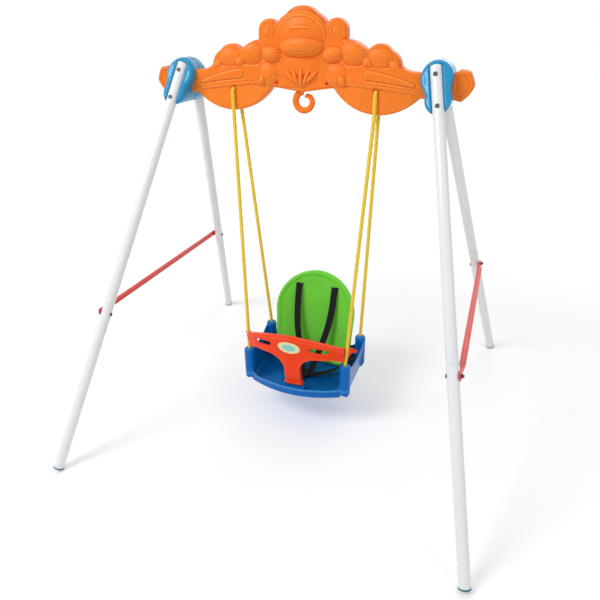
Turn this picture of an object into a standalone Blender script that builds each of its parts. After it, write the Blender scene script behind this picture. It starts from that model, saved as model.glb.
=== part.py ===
"""Garden swing for a toddler: an A-frame of steel tubes, a blow-moulded crossbeam and a bucket seat on ropes.

Metres, +Z up. The floor is Z = 0, the beam runs along X and the child faces -Y.
"""

from math import acos, asin, atan2, ceil, cos, hypot, pi, radians, sin, sqrt

import bmesh
import bpy
from mathutils import Matrix, Vector

# Clearances
GAP = 0.0003
BOLT_PLAY = 0.0003
ROPE_PLAY = 0.0010

# A-frames: a bolt joins each leg to its bracket, and the feet spread both ways from there
BOLT_HEIGHT = 1.160
BOLT_HALF_SPAN = 0.380
LEG_TOP_OFFSET = 0.042
FOOT_HALF_SPAN = 0.641
FOOT_HALF_DEPTH = 0.619
TUBE_RADIUS = 0.016
TUBE_WALL = 0.0012
TUBE_ABOVE_BOLT = 0.025
BOLT_PITCH = 0.083
BRACE_BOLT_DISTANCE = 0.776
SLEEVE_HALF = 0.030
FOOT_COLLAR = 0.014
FOOT_PLUG = 0.030
FOOT_PROUD = 0.0010

# Bolts and nuts
BOLT_RADIUS = 0.003
HEAD_RADIUS = 0.0060
HEAD_HEIGHT = 0.0030
NUT_RADIUS = 0.0068
NUT_HEIGHT = 0.0050
BOLT_BITE = 0.0035
BOLT_TAIL = 0.0030

# Cross braces: a round tube with pressed flat ends
BRACE_RADIUS = 0.009
BRACE_FLAT = 0.004
BRACE_END_WIDTH = 0.026
BRACE_PRESSED = 0.025
BRACE_TAPER = 0.035

# Crossbeam
BEAM_HALF = 0.022
BEAM_ROUND = 0.006
NECK_TOP = 1.166
NECK_BOTTOM = 1.100
LOBE_X = 0.2175
LOBE_BOTTOM = 1.052
HEAD_TOP = 1.326
RING_Z = 1.082
RING_RADIUS = 0.026
RING_TUBE = 0.0095
RING_OPENING = radians(50)
# The corners of the beam's edge at x > 0, from the head to the lobe: x, z and the rise of the arc to the next one
FIGURE_EDGE = [
    (0.046, 1.309, 0.004),
    (0.072, 1.285, -0.003),
    (0.080, 1.293, 0.020),
    (0.129, 1.262, 0.006),
    (0.120, 1.247, -0.001),
    (0.132, 1.247, 0.005),
    (0.186, 1.220, -0.001),
    (0.194, 1.224, 0.014),
    (0.252, 1.220, 0.007),
    (0.282, 1.180, -0.004),
    (0.326, NECK_TOP, 0),
    (0.428, NECK_TOP, 0),
    (0.434, 1.174, 0.001),
    (0.461, 1.171, 0.002),
    (0.477, 1.134, 0.004),
    (0.446, 1.094, 0.001),
    (0.428, NECK_BOTTOM, 0),
    (0.338, NECK_BOTTOM, 0),
]
LOBE_CHORD = ((0.0945, 1.121), (0.326, 1.089))
LOBE_SLANT = 0.001
BEAM_MIDDLE_BOTTOM = 1.108
# Raised forms on both faces of the beam: name, centre and semi-axes
MIDDLE_RELIEF = [
    ("head", 1.262, (0.076, 0.036, 0.058)),
    ("muzzle", 1.243, (0.050, 0.045, 0.026)),
    ("tuft", 1.160, (0.016, 0.032, 0.040)),
]
SIDE_RELIEF = [
    ("ear", 0.097, 1.266, (0.024, 0.028, 0.024), 0),
    ("hand", 0.082, 1.204, (0.026, 0.032, 0.017), radians(-12)),
    ("sleeve", 0.142, 1.208, (0.040, 0.029, 0.028), radians(14)),
    ("cloud", 0.222, 1.200, (0.036, 0.028, 0.024), 0),
    ("foot", 0.060, 1.166, (0.040, 0.030, 0.022), radians(20)),
]
# A teardrop on each arm, its corners given like the edge's
ARM_BAND = [(0.322, 1.127, -0.002), (0.190, 1.144, 0.010), (0.190, 1.171, 0.004), (0.322, 1.137, 0.003)]
ARM_BAND_PROUD = 0.003
PLUG_X = 0.076
PLUG_Z = 1.134
PLUG_RADIUS = 0.009
PLUG_DEPTH = 0.006

# Brackets: a front and a rear shell at each end of the beam, peanut-shaped from the front
BRACKET_TOP = 0.039
BRACKET_BOTTOM = 0.092
BRACKET_UPPER_CHORD = (0.039, -0.022)
BRACKET_LOWER_CHORD = (0.034, -0.045)
BRACKET_RIM = 0.008

# Ropes
ROPE_RADIUS = 0.0055
ROPE_BEND = 0.010
ROPE_HOLE_Z = 1.114
ROPE_FREE = 0.030
KNOT_RADIUS = 0.0105

# Seat pan, on four posts that the ropes run through
POST_X = 0.176
POST_FRONT_Y = -0.108
POST_REAR_Y = 0.097
POST_TOP = 0.262
POST_RADIUS = 0.019
POST_BOSS = 0.024
POST_HOLLOW = 0.013
PAN_BOTTOM = 0.127
PAN_WALL = 0.0035
PAN_FLOOR = 0.004
PAN_BOW = 0.045
PAN_TAPER = 0.012
PAN_CORNER = 0.020
PAN_ROUND = 0.012
PAN_TOP_INSET = 0.001
PAN_OVER = 0.02
LIP_TOP = 0.163
SIDE_TOP = 0.246
SIDE_DIP = 0.020
REAR_TOP = 0.205
LIP_FILLET = 0.040
SADDLE_HALF_WIDTH = 0.040
SADDLE_REAR_Y = -0.114
SADDLE_WALL = 0.003
SADDLE_TOE = 0.013

# Backrest
BACK_HALF_WIDTH = 0.150
BACK_FOOT_HALF_WIDTH = 0.140
BACK_HEIGHT = 0.350
BACK_FOOT_Y = 0.066
BACK_LEAN = radians(12)
BACK_DEPTH = 0.018
BACK_SKIN = 0.0035
BACK_RIM = 0.014
BACK_STEP = 0.003
BACK_WRAP = 0.020
STRAP_SLOT_X = 0.068
STRAP_SLOT_DROP = 0.056
STRAP_SLOT = (0.032, 0.008)

# Front guard, shaped like a T, which slides up the front ropes
GUARD_CENTRE_Y = -0.156
GUARD_TIP = (0.200, -0.058)
GUARD_THICKNESS = 0.022
GUARD_SKIN = 0.0035
GUARD_TOP = 0.375
GUARD_END_TOP = 0.325
GUARD_END_BOTTOM = 0.269
GUARD_ARCH_TOP = 0.286
GUARD_ARCH_X = 0.120
STEM_HALF_WIDTH = 0.029
STEM_FILLET_TOP = 0.235
STEM_FOOT_HALF_WIDTH = 0.033
STEM_FOOT_HEIGHT = 0.010
GUARD_SHEAR = 0.20
GUARD_TRAVEL = 0.220
FINGER_SLOT = (0.062, 0.018)
FINGER_SLOT_X = 0.096
FINGER_SLOT_Z = 0.326
FINGER_SLOT_TILT = radians(9)
LABEL_SEMI_AXES = (0.038, 0.024)
LABEL_Z = 0.333
LABEL_THICKNESS = 0.0008

# Harness
STRAP_WIDTH = 0.025
STRAP_THICKNESS = 0.002
BUCKLE_SIZE = (0.044, 0.036, 0.013)
BUCKLE_Y = -0.031
BUCKLE_CLEAR = 0.004
BUCKLE_ROUND = 0.004
# A shoulder strap from behind the backrest through its slot and down: share of the slot's x, drop below the slot,
# and distance behind the recessed panel
SHOULDER_ROUTE = [
    (1, 0.050, 0.0065),
    (1, 0.012, 0.0085),
    (1, 0, 0.0070),
    (1, 0, -0.0035),
    (1, 0.012, -0.0070),
    (0.97, 0.080, -0.0160),
    (0.85, 0.150, -0.0290),
    (0.60, 0.220, -0.0430),
]
# A lap strap between the buckle and the wall, from the buckle's middle
LAP_ROUTE = [(0.060, 0.012, 0.004), (0.105, 0.040, 0.012), (0.142, 0.062, 0.040)]
LAP_RISE = 0.066

# Facets
ARC_TOLERANCE = 0.0006
TUBE_SIDES = 16
ROPE_SIDES_LEVEL = 1

SIDE_TILT = atan2(FOOT_HALF_SPAN - BOLT_HALF_SPAN, BOLT_HEIGHT)
SLOPE_LENGTH = hypot(FOOT_HALF_SPAN - BOLT_HALF_SPAN, BOLT_HEIGHT)
LEG_LEAN = atan2(FOOT_HALF_DEPTH - LEG_TOP_OFFSET, SLOPE_LENGTH)
LEG_LENGTH = hypot(FOOT_HALF_DEPTH - LEG_TOP_OFFSET, SLOPE_LENGTH)
ROPE_FACE_Y = BEAM_HALF + GAP + ROPE_RADIUS
FLOOR_TOP = PAN_BOTTOM + PAN_FLOOR

ORANGE = (0.86, 0.24, 0.04)
CYAN = (0.03, 0.30, 0.60)
BLUE = (0.01, 0.12, 0.50)
GREEN = (0.13, 0.50, 0.08)
RED = (0.86, 0.07, 0.02)
YELLOW = (0.90, 0.56, 0.03)
WHITE = (0.86, 0.86, 0.88)
BLACK = (0.02, 0.02, 0.025)
CREAM = (0.88, 0.86, 0.60)
STEEL = (0.25, 0.25, 0.27)


# Scene and helpers


def clear_scene():
    for old in list(bpy.data.objects):
        bpy.data.objects.remove(old, do_unlink=True)


def new_collection(name):
    made = bpy.data.collections.new(name)
    bpy.context.scene.collection.children.link(made)
    return made


def material(name, colour, roughness=0.4, metallic=0.0):
    made = bpy.data.materials.new(name)
    made.use_nodes = True
    shader = made.node_tree.nodes["Principled BSDF"]
    shader.inputs["Base Color"].default_value = (*colour, 1)
    shader.inputs["Roughness"].default_value = roughness
    shader.inputs["Metallic"].default_value = metallic
    made.diffuse_color = (*colour, 1)
    return made


def empty(name, place, parent=None):
    made = bpy.data.objects.new(name, None)
    PARTS.objects.link(made)
    made.empty_display_size = 0.05
    made.location = place
    bpy.context.view_layer.update()
    if parent:
        made.parent = parent
        made.matrix_parent_inverse = parent.matrix_world.inverted()
    return made


def piece(name, mesh, colour, parent, matrix=None, roughness=0.4, metallic=0.0):
    """A sub-part: one object with its own material, placed by a matrix under its parent."""
    made = bpy.data.objects.new(name, mesh)
    PARTS.objects.link(made)
    mesh.materials.clear()
    mesh.materials.append(material(name, colour, roughness, metallic))
    mesh.shade_smooth()
    mesh.set_sharp_from_angle(angle=radians(35))
    made.parent = parent
    made.matrix_parent_inverse = parent.matrix_world.inverted()
    made.matrix_basis = matrix or Matrix()
    return made


def cutter(name, mesh, matrix=None):
    made = bpy.data.objects.new(name, mesh)
    CUTTERS.objects.link(made)
    made.matrix_world = matrix or Matrix()
    made.hide_render = True
    made.display_type = "WIRE"
    return made


def combine(target, tool, operation="DIFFERENCE"):
    step = target.modifiers.new(tool.name, "BOOLEAN")
    step.operation = operation
    step.object = tool
    step.solver = "EXACT"


def baked(temporary, whole_faces=False):
    """The mesh of a helper object with its modifiers applied and its seams welded. The helper goes."""
    bpy.context.scene.collection.objects.link(temporary)
    bpy.context.view_layer.update()
    graph = bpy.context.evaluated_depsgraph_get()
    mesh = bpy.data.meshes.new_from_object(temporary.evaluated_get(graph))
    bpy.data.objects.remove(temporary, do_unlink=True)
    work = bmesh.new()
    work.from_mesh(mesh)
    bmesh.ops.remove_doubles(work, verts=work.verts, dist=1e-6)
    if whole_faces:
        bmesh.ops.dissolve_limit(work, angle_limit=radians(0.2), verts=work.verts, edges=work.edges)
    work.to_mesh(mesh)
    work.free()
    return mesh


# Outlines


def arc_points(start, end, rise):
    """Points from start up to end on the arc that stands rise to the left of the chord; a line where rise is 0."""
    if not rise:
        return [start]
    half = hypot(end[0] - start[0], end[1] - start[1]) / 2
    along = ((end[0] - start[0]) / (2 * half), (end[1] - start[1]) / (2 * half))
    left = (-along[1], along[0])
    radius = (half * half + rise * rise) / (2 * rise)
    middle = ((start[0] + end[0]) / 2, (start[1] + end[1]) / 2)
    centre = (middle[0] + left[0] * (rise - radius), middle[1] + left[1] * (rise - radius))
    sweep = 2 * asin(min(1, half / abs(radius)))
    if abs(rise) > half:
        sweep = 2 * pi - sweep
    count = max(1, ceil(sweep / (2 * acos(1 - ARC_TOLERANCE / max(abs(radius), 2 * ARC_TOLERANCE)))))
    turn = -sweep / count if rise > 0 else sweep / count
    arm = (start[0] - centre[0], start[1] - centre[1])
    return [
        (
            centre[0] + arm[0] * cos(turn * k) - arm[1] * sin(turn * k),
            centre[1] + arm[0] * sin(turn * k) + arm[1] * cos(turn * k),
        )
        for k in range(count)
    ]


def arc_outline(corners, closed=True):
    """Points along corners (x, y, rise to the next corner)."""
    points = []
    following = corners[1:] + corners[:1] if closed else corners[1:]
    for here, there in zip(corners, following):
        points += arc_points(here[:2], there[:2], here[2])
    return points if closed else points + [corners[-1][:2]]


def mirrored_outline(half):
    """A closed outline from the half at x >= 0, which starts and ends on the middle line."""
    return half + [(-x, y) for x, y in reversed(half[1:-1])]


def oval(semi_x, semi_y, count=24, centre=(0, 0)):
    return [
        (centre[0] + semi_x * cos(2 * pi * k / count), centre[1] + semi_y * sin(2 * pi * k / count))
        for k in range(count)
    ]


def stadium(length, width, count=8):
    end = (length - width) / 2
    turns = [pi * k / count - pi / 2 for k in range(count + 1)]
    right = [(end + width / 2 * cos(t), width / 2 * sin(t)) for t in turns]
    return right + [(-x, -y) for x, y in right]


def smooth_route(points, steps=4):
    """Points on a smooth curve through the given ones (Catmull-Rom)."""
    known = [Vector(p) for p in points]
    known = [2 * known[0] - known[1]] + known + [2 * known[-1] - known[-2]]
    route = []
    for a, b, c, d in zip(known, known[1:], known[2:], known[3:]):
        for k in range(steps):
            t = k / steps
            route.append(
                0.5 * (2 * b + (c - a) * t + (2 * a - 5 * b + 4 * c - d) * t**2 + (3 * b - a - 3 * c + d) * t**3)
            )
    return route + [known[-2]]


# Solids


def plate(outline, low, high, rounding=0.0, levels=2):
    """A flat outline in XY, extruded from low to high along Z, with rounded edges if asked."""
    data = bpy.data.curves.new("outline", "CURVE")
    data.dimensions = "2D"
    data.fill_mode = "BOTH"
    spline = data.splines.new("POLY")
    spline.points.add(len(outline) - 1)
    for point, (x, y) in zip(spline.points, outline):
        point.co = (x, y, 0, 1)
    spline.use_cyclic_u = True
    data.extrude = (high - low) / 2 - rounding
    data.bevel_depth = rounding
    data.bevel_resolution = levels - 1
    data.offset = -rounding
    mesh = baked(bpy.data.objects.new("outline", data), True)
    mesh.transform(Matrix.Translation((0, 0, (high + low) / 2)))
    return mesh


# Turns a plate's XY outline into an XZ one: its Y becomes +Z, and its thickness runs along -Y
UPRIGHT = Matrix.Rotation(pi / 2, 4, "X")
# Turns a plate's XY outline into a YZ one, with its thickness along +X
SIDEWAYS = Matrix.Rotation(pi / 2, 4, "Z") @ Matrix.Rotation(pi / 2, 4, "X")


def front_plate(outline, near, far, rounding=0.0, levels=2):
    """An XZ outline that fills Y from near to far."""
    mesh = plate(outline, -far, -near, rounding, levels)
    mesh.transform(UPRIGHT)
    return mesh


def side_plate(outline, left, right):
    """A YZ outline that fills X from left to right."""
    mesh = plate(outline, left, right)
    mesh.transform(SIDEWAYS)
    return mesh


def turned(profile, sides=TUBE_SIDES):
    """A profile of (radius, z) turned about Z. It runs down its outer side."""
    mesh = bpy.data.meshes.new("profile")
    count = len(profile)
    closed = profile[0][0] > 0 and profile[-1][0] > 0
    edges = [(k, k + 1) for k in range(count - 1)] + ([(count - 1, 0)] if closed else [])
    mesh.from_pydata([(r, 0, z) for r, z in profile], edges, [])
    helper = bpy.data.objects.new("profile", mesh)
    screw = helper.modifiers.new("Screw", "SCREW")
    screw.steps = sides
    screw.render_steps = sides
    screw.use_merge_vertices = True
    screw.merge_threshold = 1e-5
    return baked(helper)


def rod(radius, low, high, sides=TUBE_SIDES):
    return turned([(0, high), (radius, high), (radius, low), (0, low)], sides)


def box(low, high):
    mesh = bpy.data.meshes.new("box")
    work = bmesh.new()
    bmesh.ops.create_cube(work, size=1)
    size = [b - a for a, b in zip(low, high)]
    middle = [(a + b) / 2 for a, b in zip(low, high)]
    bmesh.ops.scale(work, vec=size, verts=work.verts)
    bmesh.ops.translate(work, vec=middle, verts=work.verts)
    work.to_mesh(mesh)
    work.free()
    return mesh


def ball(centre, semi_axes, tilt=0.0, across=14, up=6):
    """An ellipsoid, tilted about Y."""
    mesh = bpy.data.meshes.new("ball")
    work = bmesh.new()
    bmesh.ops.create_uvsphere(work, u_segments=across, v_segments=up, radius=1)
    turn = Matrix.Translation(centre) @ Matrix.Rotation(tilt, 4, "Y") @ Matrix.Diagonal((*semi_axes, 1))
    # The poles lie along Y, so the fewest facets show from the front
    bmesh.ops.transform(work, matrix=turn @ Matrix.Rotation(pi / 2, 4, "X"), verts=work.verts)
    work.to_mesh(mesh)
    work.free()
    return mesh


def rope(route, radius=ROPE_RADIUS):
    data = bpy.data.curves.new("rope", "CURVE")
    data.dimensions = "3D"
    data.bevel_depth = radius
    data.bevel_resolution = ROPE_SIDES_LEVEL
    data.use_fill_caps = True
    spline = data.splines.new("POLY")
    spline.points.add(len(route) - 1)
    for point, place in zip(spline.points, route):
        point.co = (*place, 1)
    return baked(bpy.data.objects.new("rope", data))


def loft(rings):
    """A closed solid through rings of equally many points, the first at the bottom, counter-clockwise from above."""
    mesh = bpy.data.meshes.new("loft")
    count = len(rings[0])
    points = [p for ring in rings for p in ring]
    faces = [tuple(reversed(range(count))), tuple(range(len(points) - count, len(points)))]
    for level in range(len(rings) - 1):
        for k in range(count):
            a = level * count + k
            b = level * count + (k + 1) % count
            faces.append((a, b, b + count, a + count))
    mesh.from_pydata(points, [], faces)
    return mesh


def ribbon(route, across, width=STRAP_WIDTH, thickness=STRAP_THICKNESS):
    """Flat webbing along a route, its width along the given direction."""
    side = Vector(across).normalized() * width / 2
    mesh = bpy.data.meshes.new("ribbon")
    points = [place + side * sign for place in route for sign in (-1, 1)]
    faces = [(2 * k, 2 * k + 1, 2 * k + 3, 2 * k + 2) for k in range(len(route) - 1)]
    mesh.from_pydata(points, [], faces)
    helper = bpy.data.objects.new("ribbon", mesh)
    solid = helper.modifiers.new("Solidify", "SOLIDIFY")
    solid.thickness = thickness
    solid.offset = 0
    return baked(helper)


# A-frames


def side_matrix(side):
    """The plane of one A-frame, with its origin between the upper bolts. The left one is the right one turned round."""
    right = Matrix.Translation((BOLT_HALF_SPAN, 0, BOLT_HEIGHT)) @ Matrix.Rotation(-SIDE_TILT, 4, "Y")
    return right if side > 0 else Matrix.Rotation(pi, 4, "Z") @ right


def leg_matrix(side, end):
    """A leg's own frame: its axis is Z, with the upper bolt at its origin. End is -1 at the front and 1 at the rear."""
    way = side * end
    return (
        side_matrix(side)
        @ Matrix.Translation((0, way * LEG_TOP_OFFSET, 0))
        @ Matrix.Rotation(way * LEG_LEAN, 4, "X")
        @ Matrix.Rotation(0 if way > 0 else pi, 4, "Z")
    )


SIDES = ((-1, "left"), (1, "right"))
ENDS = ((-1, "front"), (1, "rear"))
CORNERS = [(side, end, f"{end_name}_{side_name}") for side, side_name in SIDES for end, end_name in ENDS]


def bolt_hole(matrix, name):
    """A drilling along the matrix's Y through the whole tube and a little beyond."""
    reach = TUBE_RADIUS + BOLT_BITE + GAP
    drill = rod(BOLT_RADIUS + BOLT_PLAY, -reach, TUBE_RADIUS + HEAD_HEIGHT, 12)
    return cutter(name, drill, matrix @ Matrix.Rotation(-pi / 2, 4, "X"))


def make_leg(side, end, name):
    place = leg_matrix(side, end)
    inner = TUBE_RADIUS - TUBE_WALL
    swage = inner - GAP
    sleeve_top = -BRACE_BOLT_DISTANCE + SLEEVE_HALF
    upper = piece(
        f"leg_upper_{name}",
        turned(
            [
                (TUBE_RADIUS, TUBE_ABOVE_BOLT),
                (TUBE_RADIUS, sleeve_top + GAP),
                (swage, sleeve_top + GAP),
                (swage, sleeve_top - 2 * SLEEVE_HALF),
                (swage - TUBE_WALL, sleeve_top - 2 * SLEEVE_HALF),
                (swage - TUBE_WALL, sleeve_top + TUBE_RADIUS),
                (inner, sleeve_top + 2 * TUBE_RADIUS),
                (inner, TUBE_ABOVE_BOLT),
            ]
        ),
        WHITE,
        FRAME,
        place,
        0.25,
    )
    lower = piece(
        f"leg_lower_{name}",
        turned(
            [
                (TUBE_RADIUS, sleeve_top),
                (TUBE_RADIUS, -LEG_LENGTH + FOOT_COLLAR + TUBE_RADIUS),
                (inner, -LEG_LENGTH + FOOT_COLLAR + TUBE_RADIUS),
                (inner, sleeve_top),
            ]
        ),
        WHITE,
        FRAME,
        place,
        0.25,
    )
    for row in range(2):
        drop = Matrix.Translation((0, 0, -row * BOLT_PITCH))
        combine(upper, BRACKET_DRILLS[side, end, row])
        bolt = turned(
            [
                (0, TUBE_RADIUS + GAP + HEAD_HEIGHT),
                (HEAD_RADIUS * 0.7, TUBE_RADIUS + GAP + HEAD_HEIGHT),
                (HEAD_RADIUS, TUBE_RADIUS + GAP + HEAD_HEIGHT / 2),
                (HEAD_RADIUS, TUBE_RADIUS + GAP),
                (BOLT_RADIUS, TUBE_RADIUS + GAP),
                (BOLT_RADIUS, -TUBE_RADIUS - BOLT_BITE),
                (0, -TUBE_RADIUS - BOLT_BITE),
            ],
            12,
        )
        piece(
            f"bracket_bolt_{name}_{('upper', 'lower')[row]}",
            bolt,
            STEEL,
            FRAME,
            place @ drop @ Matrix.Rotation(-pi / 2, 4, "X"),
            0.4,
            0.8,
        )
    for tube in (upper, lower):
        combine(tube, BRACE_DRILLS[side, end])
    make_foot(side, end, name, place, inner)


def make_foot(side, end, name, place, inner):
    """The end plug: a collar as wide as the tube, cut flat along the floor, and a stub inside the tube."""
    collar_top = -LEG_LENGTH + FOOT_COLLAR + TUBE_RADIUS - GAP
    foot = piece(
        f"foot_cap_{name}",
        turned(
            [
                (0, collar_top + FOOT_PLUG),
                (inner - GAP - TUBE_WALL, collar_top + FOOT_PLUG),
                (inner - GAP, collar_top + FOOT_PLUG - TUBE_WALL),
                (inner - GAP, collar_top),
                (TUBE_RADIUS + FOOT_PROUD, collar_top),
                (TUBE_RADIUS + FOOT_PROUD, -LEG_LENGTH - 2 * TUBE_RADIUS),
                (0, -LEG_LENGTH - 2 * TUBE_RADIUS),
            ]
        ),
        CYAN,
        FRAME,
        place,
        0.35,
    )
    combine(foot, FLOOR_CUTTER)


def brace_point(side, end):
    """Where the brace bolt crosses a leg's axis, in the A-frame's plane."""
    way = side * end
    return Vector(
        (
            0,
            way * (LEG_TOP_OFFSET + BRACE_BOLT_DISTANCE * sin(LEG_LEAN)),
            -BRACE_BOLT_DISTANCE * cos(LEG_LEAN),
        )
    )


def brace_section(y, reach):
    """The brace's section at y: round along its middle, pressed flat over each end and rounded off at the tips."""
    from_bolt = reach - abs(y)
    flatness = min(1, max(0, (BRACE_PRESSED + BRACE_TAPER - from_bolt) / BRACE_TAPER))
    flatness = flatness * flatness * (3 - 2 * flatness)
    half_width = BRACE_RADIUS + (BRACE_END_WIDTH / 2 - BRACE_RADIUS) * flatness
    half_depth = BRACE_RADIUS + (BRACE_FLAT / 2 - BRACE_RADIUS) * flatness
    if from_bolt < 0:
        half_width *= sqrt(max(0.12, 1 - (from_bolt / (BRACE_END_WIDTH / 2)) ** 2))
    power = 1 - 0.5 * flatness
    ring = []
    for k in range(12):
        turn = 2 * pi * k / 12
        across = abs(cos(turn)) ** power * (1 if cos(turn) > 0 else -1)
        upward = abs(sin(turn)) ** power * (1 if sin(turn) > 0 else -1)
        ring.append((half_depth * across, y, half_width * upward))
    return ring


def make_brace(side, side_name):
    reach = brace_point(side, side)[1]
    tip = BRACE_END_WIDTH / 2
    stations = [-tip, -0.85 * tip, -0.5 * tip, 0, BRACE_PRESSED]
    stations += [BRACE_PRESSED + BRACE_TAPER * k / 4 for k in range(1, 5)]
    half = [reach - s for s in stations]
    levels = half + [-y for y in reversed(half)]
    rings = [brace_section(y, reach) for y in levels]
    brace = piece(
        f"brace_{side_name}",
        loft(rings),
        RED,
        FRAME,
        side_matrix(side)
        @ Matrix.Translation((TUBE_RADIUS + GAP + BRACE_FLAT / 2, 0, brace_point(side, side)[2])),
        0.35,
    )
    for end, end_name in ENDS:
        combine(brace, BRACE_DRILLS[side, end])
        place = side_matrix(side) @ Matrix.Translation(brace_point(side, end)) @ Matrix.Rotation(pi / 2, 4, "Y")
        outer = TUBE_RADIUS + 2 * GAP + BRACE_FLAT
        bolt = turned(
            [
                (0, outer + NUT_HEIGHT + BOLT_TAIL),
                (BOLT_RADIUS, outer + NUT_HEIGHT + BOLT_TAIL),
                (BOLT_RADIUS, -TUBE_RADIUS - GAP),
                (HEAD_RADIUS, -TUBE_RADIUS - GAP),
                (HEAD_RADIUS, -TUBE_RADIUS - GAP - HEAD_HEIGHT / 2),
                (HEAD_RADIUS * 0.7, -TUBE_RADIUS - GAP - HEAD_HEIGHT),
                (0, -TUBE_RADIUS - GAP - HEAD_HEIGHT),
            ],
            12,
        )
        piece(f"brace_bolt_{end_name}_{side_name}", bolt, STEEL, FRAME, place, 0.4, 0.8)
        hole = BOLT_RADIUS + BOLT_PLAY
        nut = turned(
            [
                (NUT_RADIUS, outer + NUT_HEIGHT),
                (NUT_RADIUS, outer),
                (hole, outer),
                (hole, outer + NUT_HEIGHT),
            ],
            6,
        )
        drilled = turned_nut(nut, outer, hole)
        piece(f"brace_nut_{end_name}_{side_name}", drilled, STEEL, FRAME, place, 0.4, 0.8)


def turned_nut(nut, outer, hole):
    """The hexagon keeps its flats, and its bore is opened far enough for a round bolt."""
    for corner in nut.vertices:
        arm = hypot(corner.co.x, corner.co.y)
        if arm < NUT_RADIUS - 1e-4:
            grow = hole / cos(pi / 6) / arm
            corner.co.x *= grow
            corner.co.y *= grow
    return nut


def make_bracket(side, end, name):
    """One shell of a bracket: it holds the beam's neck in a pocket and the leg's top in an outer groove."""
    upper_x, upper_z = BRACKET_UPPER_CHORD
    lower_x, lower_z = BRACKET_LOWER_CHORD
    waist = (upper_x - lower_x) / 3
    outline = arc_outline(
        [
            (-upper_x, upper_z, BRACKET_TOP - upper_z),
            (upper_x, upper_z, -waist),
            (lower_x, lower_z, BRACKET_BOTTOM + lower_z),
            (-lower_x, lower_z, -waist),
        ]
    )
    way = side * end
    deepest = LEG_TOP_OFFSET + (BRACKET_BOTTOM + BRACKET_RIM) * sin(LEG_LEAN) / cos(LEG_LEAN) + 3 * BRACKET_RIM
    near, far = sorted((way * GAP / 2, way * deepest))
    shell = piece(
        f"bracket_{name}", front_plate(outline, near, far), CYAN, FRAME, side_matrix(side), 0.12
    )
    place = leg_matrix(side, end)
    far_cut = cutter(f"bracket_face_{name}", box((-0.1, BRACKET_RIM, -0.25), (0.1, 0.25, 0.15)), place)
    combine(shell, far_cut)
    bore = TUBE_RADIUS + GAP
    groove = cutter(f"groove_{name}", rod(bore, -0.25, TUBE_ABOVE_BOLT + GAP), place)
    channel = cutter(
        f"channel_{name}", box((-bore, 0, -0.25), (bore, 0.1, TUBE_ABOVE_BOLT + GAP)), place
    )
    combine(shell, groove)
    combine(shell, channel)
    combine(shell, NECK_CUTTER)
    for row in range(2):
        combine(shell, BRACKET_DRILLS[side, end, row])


# Crossbeam


def beam_outline():
    """The beam from the front. Its lobes hang to LOBE_BOTTOM."""
    (inner_x, inner_z), (outer_x, outer_z) = LOBE_CHORD
    hang = (inner_z + outer_z) / 2 - LOBE_BOTTOM - LOBE_SLANT
    half = arc_outline(
        [(0, HEAD_TOP, 0.012)]
        + FIGURE_EDGE
        + [(outer_x, outer_z, hang), (inner_x, inner_z, 0), (0, BEAM_MIDDLE_BOTTOM, 0)],
        closed=False,
    )
    return mirrored_outline(half)


def make_beam():
    outline = beam_outline()
    beam = piece("beam", front_plate(outline, -BEAM_HALF, BEAM_HALF, BEAM_ROUND, 1), ORANGE, FRAME, None, 0.45)
    for side, side_name in SIDES:
        combine(beam, cutter(f"rope_hole_{side_name}", rope_hole(), rope_hole_place(side)))
        combine(beam, cutter(f"plug_seat_{side_name}", plug_seat(), plug_place(side)))
    for name, z, semi_axes in MIDDLE_RELIEF:
        combine(beam, cutter(f"relief_{name}", ball((0, 0, z), semi_axes)), "UNION")
    for name, x, z, semi_axes, tilt in SIDE_RELIEF:
        for side, side_name in SIDES:
            form = ball((side * x, 0, z), semi_axes, side * tilt)
            combine(beam, cutter(f"relief_{name}_{side_name}", form), "UNION")
    for side, side_name in SIDES:
        combine(beam, cutter(f"arm_band_{side_name}", arm_band(side)), "UNION")
    start = pi / 2 + RING_OPENING / 2
    turns = [start + (2 * pi - RING_OPENING) * k / 14 for k in range(15)]
    route = [(RING_RADIUS * cos(t), 0, RING_Z + RING_RADIUS * sin(t)) for t in turns]
    combine(beam, cutter("tail_ring", rope(route, RING_TUBE)), "UNION")


def arm_band(side):
    """A long teardrop panel that stands proud of the arm on both faces, from the neck towards the figure."""
    outline = [(side * x, z) for x, z in arc_outline(ARM_BAND)]
    return front_plate(outline, -BEAM_HALF - ARM_BAND_PROUD, BEAM_HALF + ARM_BAND_PROUD)


def rope_hole():
    """A hole with flared mouths, on whose edge the rope bends."""
    bore = ROPE_RADIUS + GAP
    flare = ROPE_BEND - ROPE_RADIUS - GAP
    start = BEAM_HALF - flare
    beyond = 0.01
    upper = [(bore + flare * (1 - cos(t)), start + flare * sin(t)) for t in (pi / 2 * k / 2 for k in range(3))]
    half = [(upper[-1][0], BEAM_HALF + beyond)] + list(reversed(upper))
    profile = [(0, BEAM_HALF + beyond)] + half
    lower = [(r, -z) for r, z in reversed(profile)]
    return turned(profile + lower, 12)


def rope_hole_place(side):
    return Matrix.Translation((side * LOBE_X, 0, ROPE_HOLE_Z)) @ Matrix.Rotation(pi / 2, 4, "X")


def plug_place(side):
    return Matrix.Translation((side * PLUG_X, -BEAM_HALF, PLUG_Z)) @ Matrix.Rotation(pi / 2, 4, "X")


def plug_seat():
    return rod(PLUG_RADIUS + GAP, -PLUG_DEPTH - GAP, 0.03, 16)


def make_plug(side, side_name):
    cap = turned(
        [
            (0, -0.0005),
            (PLUG_RADIUS * 0.7, -0.0005),
            (PLUG_RADIUS, -0.0020),
            (PLUG_RADIUS, -PLUG_DEPTH),
            (0, -PLUG_DEPTH),
        ],
        16,
    )
    piece(f"beam_plug_{side_name}", cap, RED, FRAME, plug_place(side), 0.4)


# Ropes


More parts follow.
